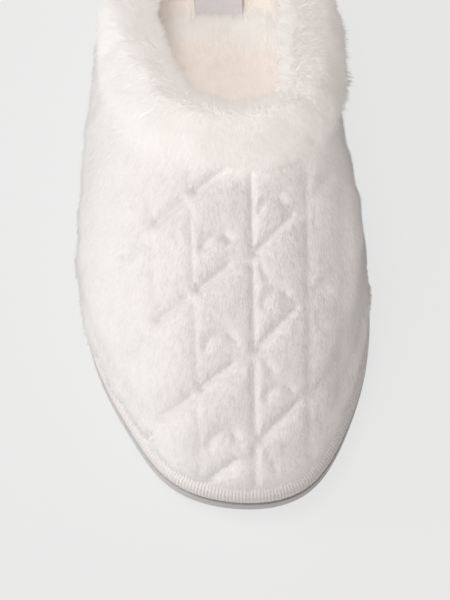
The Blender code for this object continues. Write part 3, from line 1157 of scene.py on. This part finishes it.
@dataclass
class Upper:
    """The plush upper: a hollow shell with the cable relief, its lining and its short pile."""

    form: SlipperForm
    turns: int = 440
    rows: int = 112
    inner_rows: int = 16
    lining_thickness: float = 1.2 * MM
    lining_gap: float = 0.3 * MM
    seam_fade: float = 0.06
    seam_nap: float = 0.16
    seam_down: float = 0.8
    seam_lift: float = 0.5
    pressed_pile: float = 0.42
    pile_lift: Pair = (0.15, 0.6)
    tuck: float = 2.2 * MM
    tuck_side: float = 45 * MM
    tuck_at: float = 16
    tuck_reach: float = 14
    fill: float = 0.8
    fill_heel: float = 60 * MM
    fill_run: Pair = (24, 36)
    dents: Pair = (17 * MM, 0.45 * MM)
    dent_seed: int = 3
    fluff: float = 0.5
    fluff_side: Pair = (-15 * MM, -40 * MM)
    fluff_back: Pair = (-30 * MM, 30 * MM)
    pile_seed: int = 11
    lining_seed: int = 21
    fibres: int = 72000
    pile: Strands = Strands(2.8 * MM, 0.42 * MM, 0.2, 0.18, gather=0.2, tuft=3 * MM, tufts=2500, blend=0.8)
    lining_fibres: int = 9000
    lining_pile: Strands = Strands(4.5 * MM, 0.6 * MM, 0.4, 0.3, gather=0.3, blend=0.85)
    cloth: PlushFinish = PlushFinish("plush_ground", (0.83, 0.805, 0.79), (0.79, 0.76, 0.745))
    fibre: StrandFinish = StrandFinish("plush_fibres", (0.885, 0.868, 0.856), (0.855, 0.833, 0.818))
    lining_cloth: PlushFinish = PlushFinish("lining_ground", (0.92, 0.81, 0.73), (0.86, 0.73, 0.64))
    lining_fibre: StrandFinish = StrandFinish("lining_fibres", (0.94, 0.84, 0.765), (0.89, 0.77, 0.68))

    # Millimetres up from the seam, millimetres that the cloth lies below the plain form
    skin = ((0, 0.7), (3, 0.0), (8, -0.3), (17, 1.0), (30, 2.2), (48, 1.9))

    def sheets(self) -> tuple[Array, Array, Array]:
        """Works out the shell's faces.

        Returns:
            The outer face with its relief, the outer face's normals, and the plain outer form.
        """
        turn = np.arange(self.turns) / self.turns
        shares = np.linspace(0, 1, self.rows)
        plain = self.form.outer_sheet(turn, shares)
        normals = sheet_normals(plain)
        relief = CableRelief(self.form)
        pitch, depth = self.dents
        heights = relief.height(plain) + depth * smooth_noise(plain, pitch, self.dent_seed)
        edge = ramp(shares, 0, self.seam_fade)[None, :]
        outer = plain + normals * (edge * heights - self.skin_under(plain))[..., None]
        outer[:, 0, 2] = plain[:, 0, 2]
        return outer, sheet_normals(outer), plain

    def skin_under(self, plain: Array) -> Array:
        """Sinks the cloth below the plain form, to leave room for its pile.

        Args:
            plain: points of the plain form, turns by rows.

        Returns:
            How deep it lies at each, less so where the outline stays full.
        """
        run = run_along(plain) / MM
        stops, depths = np.array(self.skin).T
        cell = np.clip(np.searchsorted(stops, run, side="right") - 1, 0, len(stops) - 2)
        t = ramp(run, stops[cell], stops[cell + 1])
        depth = (depths[cell] + (depths[cell + 1] - depths[cell]) * t * t * (3 - 2 * t)) * MM
        medial = ramp(plain[..., 0] - self.form.shift, 0, self.tuck_side) ** 3
        full = np.maximum(ramp(plain[..., 1], 0, self.fill_heel), medial * ramp(run, *self.fill_run))
        tuck = self.tuck * medial * np.exp(-(((run - self.tuck_at) / self.tuck_reach) ** 2))
        return depth * (1 - self.fill * full) + tuck

    def ways(self, points: Array, normals: Array) -> Array:
        """Brushes the pile to the toe on the vamp, and downwards at the heel and over the seam.

        Args:
            points: the outer face.
            normals: its normals.

        Returns:
            The way the pile lies at each point.
        """
        back = np.clip(points[..., 1:2] / self.form.length + 0.5, 0, 1)
        down = np.maximum(back, self.seam_down * self.by_seam())
        return unit(Nap.TO_TOE.over(normals) * (1 - down) + Nap.DOWN.over(normals) * down)

    def by_seam(self) -> Array:
        """How near each row of the outer face is to the seam, from 1 down to 0."""
        return np.clip(1 - np.linspace(0, 1, self.rows) / self.seam_nap, 0, 1)[None, :, None]

    def build(self) -> None:
        """Makes the shell, its lining and their pile."""
        outer, normals, plain = self.sheets()
        plain_normals = sheet_normals(plain)
        chosen = np.linspace(self.rows - 1, 0, self.inner_rows).round().astype(int)
        inner = (plain - plain_normals * (self.form.wall - self.lining_thickness))[:, chosen]
        inner[:, -1, 2] = plain[:, 0, 2]
        shell = np.concatenate([outer, inner], axis=1).transpose(1, 0, 2)
        faces = ring_faces(shell.shape[0], self.turns, closed=True)
        facing = self.facing(normals)
        shading = np.concatenate([facing, -plain_normals[:, chosen]], axis=1).transpose(1, 0, 2)
        made = mesh_piece(
            "upper_plush", shell.reshape(-1, 3), [faces], self.cloth.material(), shading.reshape(-1, 3)
        )
        # Light soaks through the plush, so its ground darkens no fibres
        made.visible_shadow = False
        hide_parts("upper")
        self.lay_pile(outer, normals, facing)
        self.line_inside(plain, plain_normals, chosen)

    def facing(self, normals: Array) -> Array:
        """Leans the plush's shading upwards, more so on the medial side and at the seam.

        Args:
            normals: the outer face's normals.

        Returns:
            The way it faces the light.
        """
        lift, side_lift = self.pile_lift
        medial = np.clip(normals[..., :1], 0, 1)
        return unit(normals + (lift + side_lift * medial + self.seam_lift * self.by_seam()) * UP)

    def lay_pile(self, outer: Array, normals: Array, facing: Array) -> None:
        """Covers the outer face with short pile, in two pieces.

        Args:
            outer: the outer face.
            normals: its normals.
            facing: the way it faces the light.
        """
        chance = np.random.default_rng(self.pile_seed)
        spots = self.pile.scatter(outer, facing, self.ways(outer, normals), self.fibres, chance)
        roots = spots[0]
        lateral, back = ramp(roots[:, 0], *self.fluff_side), ramp(roots[:, 1], *self.fluff_back)
        trough, _ = CableRelief(self.form).pressed(roots)
        sizes = (1 + self.fluff * np.maximum(lateral, back)) * (1 - self.pressed_pile * trough)
        for made in self.pile.pieces("upper_pile", self.fibre.material(), spots, chance, 2, sizes):
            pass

    def line_inside(self, plain: Array, normals: Array, chosen: Array) -> None:
        """Adds the lining, a thin closed shell inside the wall, with its pile.

        Args:
            plain: the plain outer form.
            normals: its normals.
            chosen: rows of the inner face, from the topline down.
        """
        # Every second turn is fine enough for the lining
        plain, normals = plain[::2], normals[::2]
        wall = self.form.wall
        face = (plain - normals * wall)[:, chosen[::-1]]
        back = (plain - normals * (wall - self.lining_thickness + self.lining_gap))[:, chosen]
        shell = np.concatenate([back[:, ::-1], face[:, ::-1]], axis=1).transpose(1, 0, 2)
        faces = ring_faces(shell.shape[0], len(plain), closed=True)
        made = mesh_piece("lining", shell.reshape(-1, 3), [faces], self.lining_cloth.material())
        chance = np.random.default_rng(self.lining_seed)
        inward = -normals[:, chosen[::-1]]
        spots = self.lining_pile.scatter(face, inward, Nap.DOWN.over(inward), self.lining_fibres, chance)
        for pile in self.lining_pile.pieces("lining_pile", self.lining_fibre.material(), spots, chance):
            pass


@dataclass
class Collar:
    """The long-pile collar that rolls over the upper's rim."""

    form: SlipperForm
    turns: int = 300
    under: tuple[float, float, int] = (0.3, 1, 160)
    drop: float = 12 * MM
    drop_steps: int = 9
    upward_step: int = 3
    foot_step: int = 6
    foot_share: float = 2.0
    slot_drops: Pair = (6.0, 12.0)
    lumps: Pair = (12 * MM, 0.9 * MM)
    lump_seed: int = 8
    pile_seed: int = 31
    reach: float = 10 * MM
    plump: float = 0.62
    crown: float = 0.78
    gap: float = 0.4 * MM
    section_steps: int = 36
    fibres: int = 36000
    crown_slope: Pair = (0.3, 0.6)
    pile: Strands = Strands(4.6 * MM, 0.55 * MM, 0.24, 0.25, 0.3, 0.4, 4.5 * MM, 520, 0.78)
    rim_fibres: int = 15000
    rim_slope: tuple[float, float, float, float] = (-0.8, -0.4, 0.8, 0.97)
    rim_hang: Pair = (-0.35, 0.05)
    rim_lift: float = 8.0
    fringe_lift: float = 2.4
    side_lift: float = 3.2
    side_foot: float = 0.7
    rise: Pair = (0.28, 0.55)
    rim_pile: Strands = Strands(4.4 * MM, 0.5 * MM, 0.15, 0.35, 0.45, 0.45, 3.5 * MM, 420, 0.88)
    fringe_fibres: int = 12000
    fringe_share: float = 0.3
    fringe: Strands = Strands(5.4 * MM, 0.55 * MM, 0.09, 0.2, 0.35, 0.35, 5 * MM, 260, 0.85)
    lock_fibres: int = 6000
    lock_side: tuple[float, float, float, float] = (10 * MM, 18 * MM, 26 * MM, 32 * MM)
    lock_back: Pair = (8 * MM, 20 * MM)
    locks: Strands = Strands(5.4 * MM, 0.55 * MM, 0.08, 0.3, 0.35, 0.5, 5 * MM, 60, 0.82)
    cloth: PlushFinish = PlushFinish("collar_ground", (0.86, 0.835, 0.81), (0.82, 0.79, 0.76))
    fibre: StrandFinish = StrandFinish("collar_fibres", (0.875, 0.858, 0.842), (0.845, 0.822, 0.802), 140)

    # Outside and inside: drop below the rim, height of the roll; over the rim: degrees, share of the reach
    outside = ((12.0, 0.8), (10.2, 3.4), (6.0, 6.2))
    over = ((20, 0.78), (55, 0.84), (90, 0.96), (118, 1.04), (145, 1.00), (165, 0.88))
    inside = ((3.0, 4.4), (5.5, 3.0), (6.0, 1.2))

    def rim(self) -> tuple[Array, Array, Array]:
        """Samples the upper under the collar.

        Returns:
            Points, turns by drops below the rim, their outward normals, and the drops.
        """
        turn = np.arange(self.turns) / self.turns
        sheet = self.form.outer_sheet(turn, np.linspace(*self.under))
        both = np.concatenate([sheet, sheet_normals(sheet)], axis=-1)[:, ::-1]
        drops = np.linspace(0, self.drop, self.drop_steps)
        picked = pick_along(both, run_along(both[..., :3]), np.tile(drops, (self.turns, 1)))
        return picked[..., :3], unit(picked[..., 3:]), drops

    def section(self) -> tuple[Array, Array, int]:
        """Works out the roll.

        Returns:
            Its points, section points by turns, its outward directions, and how many section points show.
        """
        points, normals, drops = self.rim()
        top, out = points[:, 0], normals[:, 0]
        upward = unit(points[:, 0] - points[:, self.upward_step])
        half_wall = self.form.wall / 2
        middle = top - out * half_wall

        def at(drop: float) -> tuple[Array, Array]:
            """Points and normals at one drop below the rim."""
            index = min(int(round(drop * MM / self.drop * (len(drops) - 1))), len(drops) - 1)
            return points[:, index], normals[:, index]

        knots = []
        for drop, high in self.outside:
            place, way = at(drop)
            knots.append(place + way * (high * MM * self.plump))
        for degrees, share in self.over:
            angle = math.radians(degrees)
            way = math.cos(angle) * out + math.sin(angle) * upward
            knots.append(middle + way * (half_wall + (self.reach * share - half_wall) * self.crown))
        for drop, high in self.inside:
            place, way = at(drop)
            knots.append(place - way * (self.form.wall + high * MM * self.plump))
        knots = np.array(knots)
        stops = np.linspace(0, len(knots) - 1, self.section_steps)
        shown = self.through(knots, stops)
        away = unit(shown - middle[None])
        (half, half_out), (low, low_out) = (at(drop) for drop in self.slot_drops)
        slot = [
            half - half_out * (self.form.wall + self.gap),
            top - out * (self.form.wall + self.gap) + upward * self.gap,
            top + out * self.gap + upward * self.gap,
            half + half_out * self.gap,
            low + low_out * self.gap,
        ]
        return np.concatenate([shown, np.array(slot)]), away, len(shown)

    def through(self, knots: Array, stops: Array) -> Array:
        """Draws a smooth line through knots.

        Args:
            knots: points that it goes through.
            stops: places along it, counted in knots.

        Returns:
            Its points at the stops.
        """
        padded = np.concatenate([2 * knots[:1] - knots[1:2], knots, 2 * knots[-1:] - knots[-2:-1]])
        cell = np.clip(stops.astype(int), 0, len(knots) - 2)
        t = (stops - cell)[:, None, None]
        a, b, c, d = (padded[cell + step] for step in range(4))
        bend, twist = 2 * a - 5 * b + 4 * c - d, 3 * b - a - 3 * c + d
        return 0.5 * (2 * b + (c - a) * t + bend * t**2 + twist * t**3)

    def build(self) -> None:
        """Makes the roll and its long pile."""
        rings, away, shown = self.section()
        pitch, depth = self.lumps
        rings[:shown] += away * (smooth_noise(rings[:shown], pitch, self.lump_seed)[..., None] * depth)
        sheet = rings[:shown].transpose(1, 0, 2)
        normals = sheet_normals(sheet)
        facing = self.facing(normals)
        below = np.broadcast_to(facing[:, -1], (len(rings) - shown, *facing[:, -1].shape))
        shading = np.concatenate([facing.transpose(1, 0, 2), -below]).reshape(-1, 3)
        faces = ring_faces(len(rings), self.turns, closed=True)
        made = mesh_piece("collar_roll", rings.reshape(-1, 3), [faces], self.cloth.material(), shading)
        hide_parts("collar")
        # Light soaks through the fur, so its ground darkens no fibres
        made.visible_shadow = False
        for pile in self.lay_pile(sheet, normals, facing):
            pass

    def facing(self, normals: Array) -> Array:
        """Leans the fur's shading upwards on its inner and medial sides, and with the upper at its foot.

        Args:
            normals: normals of the roll's shown face, turns by section points.

        Returns:
            The way it faces the light.
        """
        shares = np.linspace(0, 1, normals.shape[1])
        inner = ramp(shares, *self.rise)[None, :, None]
        outer = np.clip(1 - shares / self.fringe_share, 0, 1)[None, :, None]
        _, under, _ = self.rim()
        foot = self.foot_share * under[:, self.foot_step, None] + self.fringe_lift * UP
        medial = np.clip(normals[..., :1], 0, 1) * (1 - self.side_foot * outer)
        return unit(normals + (self.rim_lift * inner + self.side_lift * medial) * UP + outer * foot)

    def lay_pile(self, sheet: Array, normals: Array, facing: Array) -> list[bpy.types.Object]:
        """Covers the roll with pile.

        Args:
            sheet: the roll's shown face, turns by section points from outside to inside.
            normals: its normals.
            facing: the way its fur faces.

        Returns:
            The pieces of long pile, the short pile of the inner edge, the fringe that lies on the upper, and
            the locks that stand out of it on the medial side.
        """
        chance = np.random.default_rng(self.pile_seed)
        finish = self.fibre.material()
        outwards = -unit(np.gradient(sheet, axis=1))
        shares = np.linspace(0, 1, sheet.shape[1])
        inside, up = shares[None, :] > self.rise[0], normals[..., 2]

        crown = np.where(inside, ramp(up, *self.crown_slope), 1.0)
        spots = self.pile.scatter(sheet, facing, outwards, self.fibres, chance, crown)
        made = self.pile.pieces("collar_pile", finish, spots, chance, 2)

        rim = np.where(inside, np.interp(up, self.rim_slope, (0, 1, 1, 0)), 0.0)
        stands = ramp(up, *self.rim_hang)[..., None]
        inwards = unit(normals * np.array([1, 1, 0])) * stands - outwards * (1 - stands)
        spots = self.rim_pile.scatter(sheet, facing, inwards, self.rim_fibres, chance, rim)
        made += self.rim_pile.pieces("collar_rim_pile", finish, spots, chance)

        edge = slice(0, round(len(shares) * self.fringe_share))
        sheet, normals, facing, outwards = (rows[:, edge] for rows in (sheet, normals, facing, outwards))
        spots = self.fringe.scatter(sheet, facing, outwards, self.fringe_fibres, chance)
        made += self.fringe.pieces("collar_fringe", finish, spots, chance)

        front, back = self.lock_back
        medial = np.interp(sheet[..., 0], self.lock_side, (0, 1, 1, 0)) * ramp(sheet[..., 1], back, front)
        spots = self.locks.scatter(sheet, unit(normals + UP), outwards, self.lock_fibres, chance, medial)
        return made + self.locks.pieces("collar_locks", finish, spots, chance)


@dataclass
class SoleLayer:
    """One layer of the sole: rings along its edge, closed across its top and underside."""

    form: SlipperForm
    node: str
    edge: tuple[Pair, ...]
    turns: Array = field(default_factory=lambda: np.arange(360) / 360)

    def rings(self) -> list[Array]:
        """Draws the layer.

        Returns:
            Its rings from the underside to the top.
        """
        low, high = box_corners(self.node)
        thickness = high[2] - low[2] - self.form.toe_spring * self.spring_left()
        made = []
        for inset, share in self.edge:
            plan, _ = self.form.edge(self.turns, inset * MM)
            z = low[2] + share * thickness + self.form.spring(plan[:, 1])
            made.append(np.column_stack([plan, z]))
        return made

    def spring_left(self) -> float:
        """Share of the toe spring at the layer's own toe."""
        plan, _ = self.form.edge(np.array([0.0]), self.edge[-1][0] * MM)
        return float(self.form.spring(plan[0, 1])) / self.form.toe_spring

    def closed(self, rings: list[Array]) -> tuple[Array, list[Array]]:
        """Closes the layer.

        Args:
            rings: its rings from the underside to the top.

        Returns:
            Its points and its faces.
        """
        count = len(self.turns)
        faces = [ring_faces(len(rings), count)]
        faces.append(cap_faces(rings[0], 0, False))
        faces.append(cap_faces(rings[-1], (len(rings) - 1) * count, True))
        return np.concatenate(rings), faces


@dataclass
class Platform:
    """The foam layer wrapped in ribbed tape: ribs run over its edge all the way round."""

    form: SlipperForm
    rib_pitch: float = 1.25 * MM
    rib_height: float = 0.24 * MM
    rib_power: float = 0.7
    rib_middle: float = 0.7
    edge_power: float = 0.5
    thickness_mm: float = 8
    steps_per_rib: int = 5
    profile_steps: int = 12
    finish: TapeFinish = TapeFinish()

    # Inset in millimetres, share of the thickness
    edge = ((1.6, 0.0), (0.4, 0.16), (0.0, 0.42), (0.5, 0.72), (2.2, 0.93), (4.2, 1.0))

    def smooth_edge(self) -> tuple[Pair, ...]:
        """Divides the edge's section evenly.

        Returns:
            Its inset in millimetres and share of the thickness at each step.
        """
        rows = np.array([self.edge])
        run = run_along(rows * (1, self.thickness_mm))
        stops = np.linspace(0, run[:, -1], self.profile_steps).T
        return tuple((float(inset), float(share)) for inset, share in pick_along(rows, run, stops)[0])

    def build(self) -> None:
        """Makes the ribbed layer."""
        ribs = round(self.form.edge_length() / self.rib_pitch)
        count = ribs * self.steps_per_rib
        layer = SoleLayer(self.form, "platform", self.smooth_edge(), self.form.even_turns(count))
        wave = np.abs(np.sin(np.arange(count) * math.pi / self.steps_per_rib)) ** self.rib_power
        _, outward = self.form.edge(layer.turns, 0.0)
        rings = layer.rings()
        for number, ring in enumerate(rings):
            around = math.pi * number / (len(rings) - 1)
            swell = (wave - self.rib_middle) * self.rib_height
            ring[:, :2] += outward * (swell * max(math.sin(around), 0) ** self.edge_power)[:, None]
            ring[:, 2] += swell * max(-math.cos(around), 0)
        points, faces = layer.closed(rings)
        made = mesh_piece("platform_tape", points, faces, self.finish.material())
        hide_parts("platform")


@dataclass
class Outsole:
    """The rubber outsole: rounded edge, cross grooves and a raised waist."""

    form: SlipperForm
    arch_rise: float = 1.6 * MM
    arch_from: float = 0.50
    arch_to: float = 0.72
    tread_depth: float = 1.4 * MM
    tread_width: float = 2.4 * MM
    tread_pitch: float = 14 * MM
    tread_ends: Pair = (0.10, 0.95)
    tread_waist: Pair = (0.47, 0.75)
    bevel: float = 0.25 * MM
    around: int = 420
    under_fade: float = 2.5
    sharp: float = math.radians(38)
    finish: RubberFinish = RubberFinish()

    # Inset in millimetres, share of the thickness
    edge = ((2.2, 0.0), (1.2, 0.08), (0.6, 0.22), (0.15, 0.4), (0.0, 0.6), (0.1, 0.85), (0.3, 1.0))

    def grooves(self) -> list[float]:
        """Divides the tread.

        Returns:
            Places of the cross grooves along the length.
        """
        first, last = ((share - 0.5) * self.form.length for share in self.tread_ends)
        low, high = ((share - 0.5) * self.form.length for share in self.tread_waist)
        return [y for y in np.arange(first, last, self.tread_pitch) if not low < y < high]

    def underside(self, y: Array) -> Array:
        """Raises the underside at the waist and in the grooves.

        Args:
            y: places along the length.

        Returns:
            Its height above the plain line there.
        """
        across = ramp(y / self.form.length + 0.5, self.arch_from, self.arch_to)
        rise = self.arch_rise * np.sin(math.pi * across) ** 2
        for groove in self.grooves():
            inside = self.tread_width / 2 - np.abs(y - groove)
            rise = rise + self.tread_depth * np.clip(inside / self.bevel, 0, 1)
        return rise

    def all_turns(self) -> Array:
        """Divides the edge.

        Returns:
            Even turns, with extra ones at the edges of each groove on both sides.
        """
        turns = list(self.form.even_turns(self.around))
        for groove in self.grooves():
            for offset in (-self.tread_width / 2, self.tread_width / 2):
                inner = groove + offset - math.copysign(self.bevel, offset)
                for y in (groove + offset, inner):
                    turn = float(self.form.turn_at(y))
                    turns += [turn, 1 - turn]
        return np.unique(np.round(turns, 7))

    def build(self) -> None:
        """Makes the outsole."""
        layer = SoleLayer(self.form, "outsole", self.edge, self.all_turns())
        rings = layer.rings()
        for ring, (_, share) in zip(rings, self.edge):
            ring[:, 2] += self.underside(ring[:, 1]) * max(1 - share * self.under_fade, 0)
        points, faces = layer.closed(rings)
        made = mesh_piece("outsole_rubber", points, faces, self.finish.material())
        made.data.set_sharp_from_angle(angle=self.sharp)
        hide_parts("outsole")


@dataclass
class Insole:
    """The plush sock on its foam."""

    form: SlipperForm
    fibres: int = 15000
    pile_from: float = -45 * MM
    ridge: float = 3.2 * MM
    ridge_before: float = 5.5 * MM
    ridge_reach: float = 5 * MM
    ridge_side: float = 20 * MM
    ridge_shift: float = 9 * MM
    swells: Pair = (11 * MM, 0.6 * MM)
    swell_seed: int = 17
    swell_edge: float = 0.2
    spine_share: float = 0.01
    pile_room: float = 0.8 * MM
    room_from: float = 0.5
    pile_seed: int = 41
    top_rings: int = 24
    pile: Strands = Strands(4.2 * MM, 0.55 * MM, 0.25, 0.35, gather=0.45, tuft=4 * MM, tufts=420, blend=0.8)
    cloth: PlushFinish = PlushFinish("sock_ground", (0.98, 0.935, 0.895), (0.95, 0.89, 0.84))
    fibre: StrandFinish = StrandFinish("sock_fibres", (0.98, 0.935, 0.905), (0.96, 0.90, 0.86))
    mound_highlight_fibres: int = 6000
    mound_pile: Strands = Strands(5 * MM, 0.5 * MM, 0.4, 0.4, gather=0.5, tuft=5 * MM, tufts=70, blend=0.8)
    # The mound's shape is real, but its fibres' tone, whiter than the sock's, is a painted highlight for the
    # light that falls on it
    mound_highlight_fibre: StrandFinish = StrandFinish("mound_highlight_fibres", (0.995, 0.985, 0.965), (0.985, 0.965, 0.94))

    # Inset in millimetres, share of the thickness
    edge = ((10.2, 0.0), (9.9, 0.45), (10.2, 0.68), (10.8, 0.82), (12.0, 0.94), (13.5, 1.0))

    def build(self) -> None:
        """Makes the sock and its pile."""
        layer = SoleLayer(self.form, "insole", self.edge)
        room = self.pile_room * UP
        rings = [ring - room * (share > self.room_from) for ring, (_, share) in zip(layer.rings(), self.edge)]
        sheet = self.top(rings[-1])
        points, faces = layer.closed([*rings[:-1], *sheet.transpose(1, 0, 2)])
        made = mesh_piece("insole_sock", points, faces, self.cloth.material())
        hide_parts("insole")
        # Light soaks through the sock, so its ground darkens no fibres
        made.visible_shadow = False
        self.lay_pile(sheet)

    def top(self, ring: Array) -> Array:
        """Swells the sock's top softly.

        Args:
            ring: its edge.

        Returns:
            Its points, turns by rings from the edge in to the length axis.
        """
        spine = np.column_stack([np.full(len(ring), self.form.shift), ring[:, 1:]])
        shares = np.linspace(1, self.spine_share, self.top_rings)
        sheet = spine[:, None] + (ring - spine)[:, None] * shares[None, :, None]
        low, _ = box_corners("label")
        pitch, depth = self.swells
        clear = ramp(low[1] - sheet[..., 1], 0, self.ridge_before)
        inside = ramp(1 - shares, 0, self.swell_edge)[None, :]
        swell = self.ridge * self.mound(sheet) + depth * clear * smooth_noise(sheet, pitch, self.swell_seed)
        sheet[..., 2] += inside * swell
        return sheet

    def mound(self, sheet: Array) -> Array:
        """Shapes the soft mound that swells before the label.

        Args:
            sheet: points of the sock's top.

        Returns:
            Share of the mound's height at each.
        """
        low, high = box_corners("label")
        along = (low[1] - self.ridge_before - sheet[..., 1]) / self.ridge_reach
        across = (sheet[..., 0] - (low[0] + high[0]) / 2 - self.ridge_shift) / self.ridge_side
        return np.exp(-(along**2) - across**4)

    def lay_pile(self, sheet: Array) -> None:
        """Covers the sock with pile, but for the label's place, and its mound with longer pile whose whiter
        tone is a painted highlight.

        Args:
            sheet: points of the sock's top.
        """
        chance = np.random.default_rng(self.pile_seed)
        normals = -sheet_normals(sheet)
        normals = unit(normals * np.sign(normals[..., 2:]) + UP)
        low, high = box_corners("label")
        beside = (sheet[..., 0] > low[0]) & (sheet[..., 0] < high[0])
        clear = np.where(beside & (sheet[..., 1] > low[1]) & (sheet[..., 1] < high[1]), 0.0, 1.0)
        shown = clear * (sheet[..., 1] > self.pile_from)
        spots = self.pile.scatter(sheet, normals, Nap.TO_TOE.over(normals), self.fibres, chance, shown)
        made = self.pile.pieces("insole_pile", self.fibre.material(), spots, chance)
        full = clear * self.mound(sheet)
        brushed = Nap.TO_HEEL.over(normals)
        spots = self.mound_pile.scatter(sheet, normals, brushed, self.mound_highlight_fibres, chance, full)
        made += self.mound_pile.pieces("insole_mound", self.mound_highlight_fibre.material(), spots, chance)


@dataclass
class Label:
    """The bare woven label, laid on the sock, with turned ends."""

    form: SlipperForm
    columns: int = 28
    rows: int = 40
    crown: float = 0.5 * MM
    end_fall: float = 0.6
    hem: Pair = (0.25 * MM, 1.6 * MM)
    finish: SatinFinish = SatinFinish()

    def build(self) -> None:
        """Makes the label."""
        low, high = box_corners("label")
        middle, half = (low + high) / 2, (high - low) / 2
        u, v = np.meshgrid(np.linspace(-1, 1, self.columns), np.linspace(-1, 1, self.rows), indexing="ij")
        swell = self.crown * (1 - u**2) * (1 - self.end_fall * v**2)
        thick, wide = self.hem
        hem = thick * np.exp(-(((1 - np.abs(v)) * half[1] / wide) ** 2))
        top = np.stack([middle[0] + u * half[0], middle[1] + v * half[1], high[2] + swell + hem], axis=-1)
        under = top.copy()
        under[..., 2] = low[2]
        points = np.concatenate([top.reshape(-1, 3), under.reshape(-1, 3)])
        made = mesh_piece("label_cloth", points, self.plate_faces(), self.finish.material())
        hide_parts("label")

    def plate_faces(self) -> list[Array]:
        """Joins the points to a thin closed plate.

        Returns:
            The faces of its top, underside and rim.
        """
        number = np.arange(self.columns * self.rows).reshape(self.columns, self.rows)
        a, b, c, d = number[:-1, :-1], number[1:, :-1], number[1:, 1:], number[:-1, 1:]
        top = np.stack([a, b, c, d], axis=-1).reshape(-1, 4)
        under = top[:, ::-1] + number.size
        border = np.concatenate([number[:, 0], number[-1, 1:], number[-2::-1, -1], number[0, -2:0:-1]])
        after = np.roll(border, -1)
        rim = np.stack([after, border, border + number.size, after + number.size], axis=-1)
        return [top, under, rim]


@dataclass(frozen=True)
class Lamp:
    """A soft square light that looks at the slipper."""

    name: str
    place: Triple
    size: float
    power: float
    colour: Triple
    aim: Triple = (0, -0.03, 0.03)

    def build(self) -> None:
        """Hangs the lamp."""
        light = bpy.data.lights.new(self.name, "AREA")
        light.energy = self.power
        light.color = self.colour
        light.size = self.size
        lamp = bpy.data.objects.new(self.name, light)
        lamp.location = self.place
        lamp.rotation_euler = (Vector(self.aim) - lamp.location).to_track_quat("-Z", "Y").to_euler()
        bpy.context.scene.collection.objects.link(lamp)


@dataclass
class Studio:
    """Floor, light and camera."""

    azimuth: float = math.radians(-2)
    elevation: float = math.radians(62)
    distance: float = 950 * MM
    pixels_per_metre: float = 2800
    aim: Triple = (-0.6 * MM, -55.6 * MM, 24.1 * MM)
    sensor: float = 36
    clip_end: float = 50
    floor_size: float = 6.0
    ambient: Triple = (1.0, 0.88, 0.82)
    ambient_strength: float = 0.17
    lamps: tuple[Lamp, ...] = (
        Lamp("key", (-1.52, 0.18, 0.78), 0.9, 9.2, (0.90, 0.96, 1.0)),
        Lamp("top", (-0.49, -0.10, 1.775), 1.0, 17.3, (1.0, 0.95, 0.912)),
        Lamp("fill", (-0.75, -1.36, 0.57), 0.9, 4.0, (0.95, 0.97, 1.0)),
    )

    def build(self) -> None:
        """Sets up everything round the slipper."""
        self.lay_floor()
        self.light()
        self.place_camera()
        bpy.context.scene.view_settings.view_transform = "Standard"

    def lay_floor(self) -> None:
        """Lays the floor under the outsole."""
        half = self.floor_size / 2
        corners = [(x * half, y * half, 0) for x, y in ((-1, -1), (1, -1), (1, 1), (-1, 1))]
        mesh = bpy.data.meshes.new("floor")
        mesh.from_pydata(corners, [], [(0, 1, 2, 3)])
        mesh.materials.append(FloorFinish().material())
        floor = bpy.data.objects.new("floor", mesh)
        bpy.context.scene.collection.objects.link(floor)

    def light(self) -> None:
        """Adds the soft surrounding light and the lamps."""
        world = bpy.data.worlds.new("studio")
        world.use_nodes = True
        sky = world.node_tree.nodes["Background"]
        sky.inputs["Color"].default_value = (*self.ambient, 1.0)
        sky.inputs["Strength"].default_value = self.ambient_strength
        bpy.context.scene.world = world
        for lamp in self.lamps:
            lamp.build()

    def place_camera(self) -> None:
        """Puts the camera at the picture's angle and framing."""
        lens = bpy.data.cameras.new("camera")
        lens.sensor_width = self.sensor
        lens.lens = self.pixels_per_metre * self.distance * self.sensor / max(PHOTO_SIZE)
        lens.clip_end = self.clip_end
        camera = bpy.data.objects.new("camera", lens)
        aim = Vector(self.aim)
        away = Vector((
            math.sin(self.azimuth) * math.cos(self.elevation),
            -math.cos(self.azimuth) * math.cos(self.elevation),
            math.sin(self.elevation),
        ))
        camera.location = aim + away * self.distance
        camera.rotation_euler = (-away).to_track_quat("-Z", "Y").to_euler()
        bpy.context.scene.collection.objects.link(camera)
        bpy.context.scene.camera = camera


def main() -> None:
    """Builds every piece of the slipper and its studio."""
    logging.basicConfig(level=logging.INFO, format="%(name)s: %(message)s")
    form = SlipperForm.of_frame()
    for part in (Outsole, Platform, Insole, Upper, Collar, Label):
        part(form).build()
        LOG.info("%s done", part.__name__)
    Studio().build()


if __name__ == "__main__":
    main()
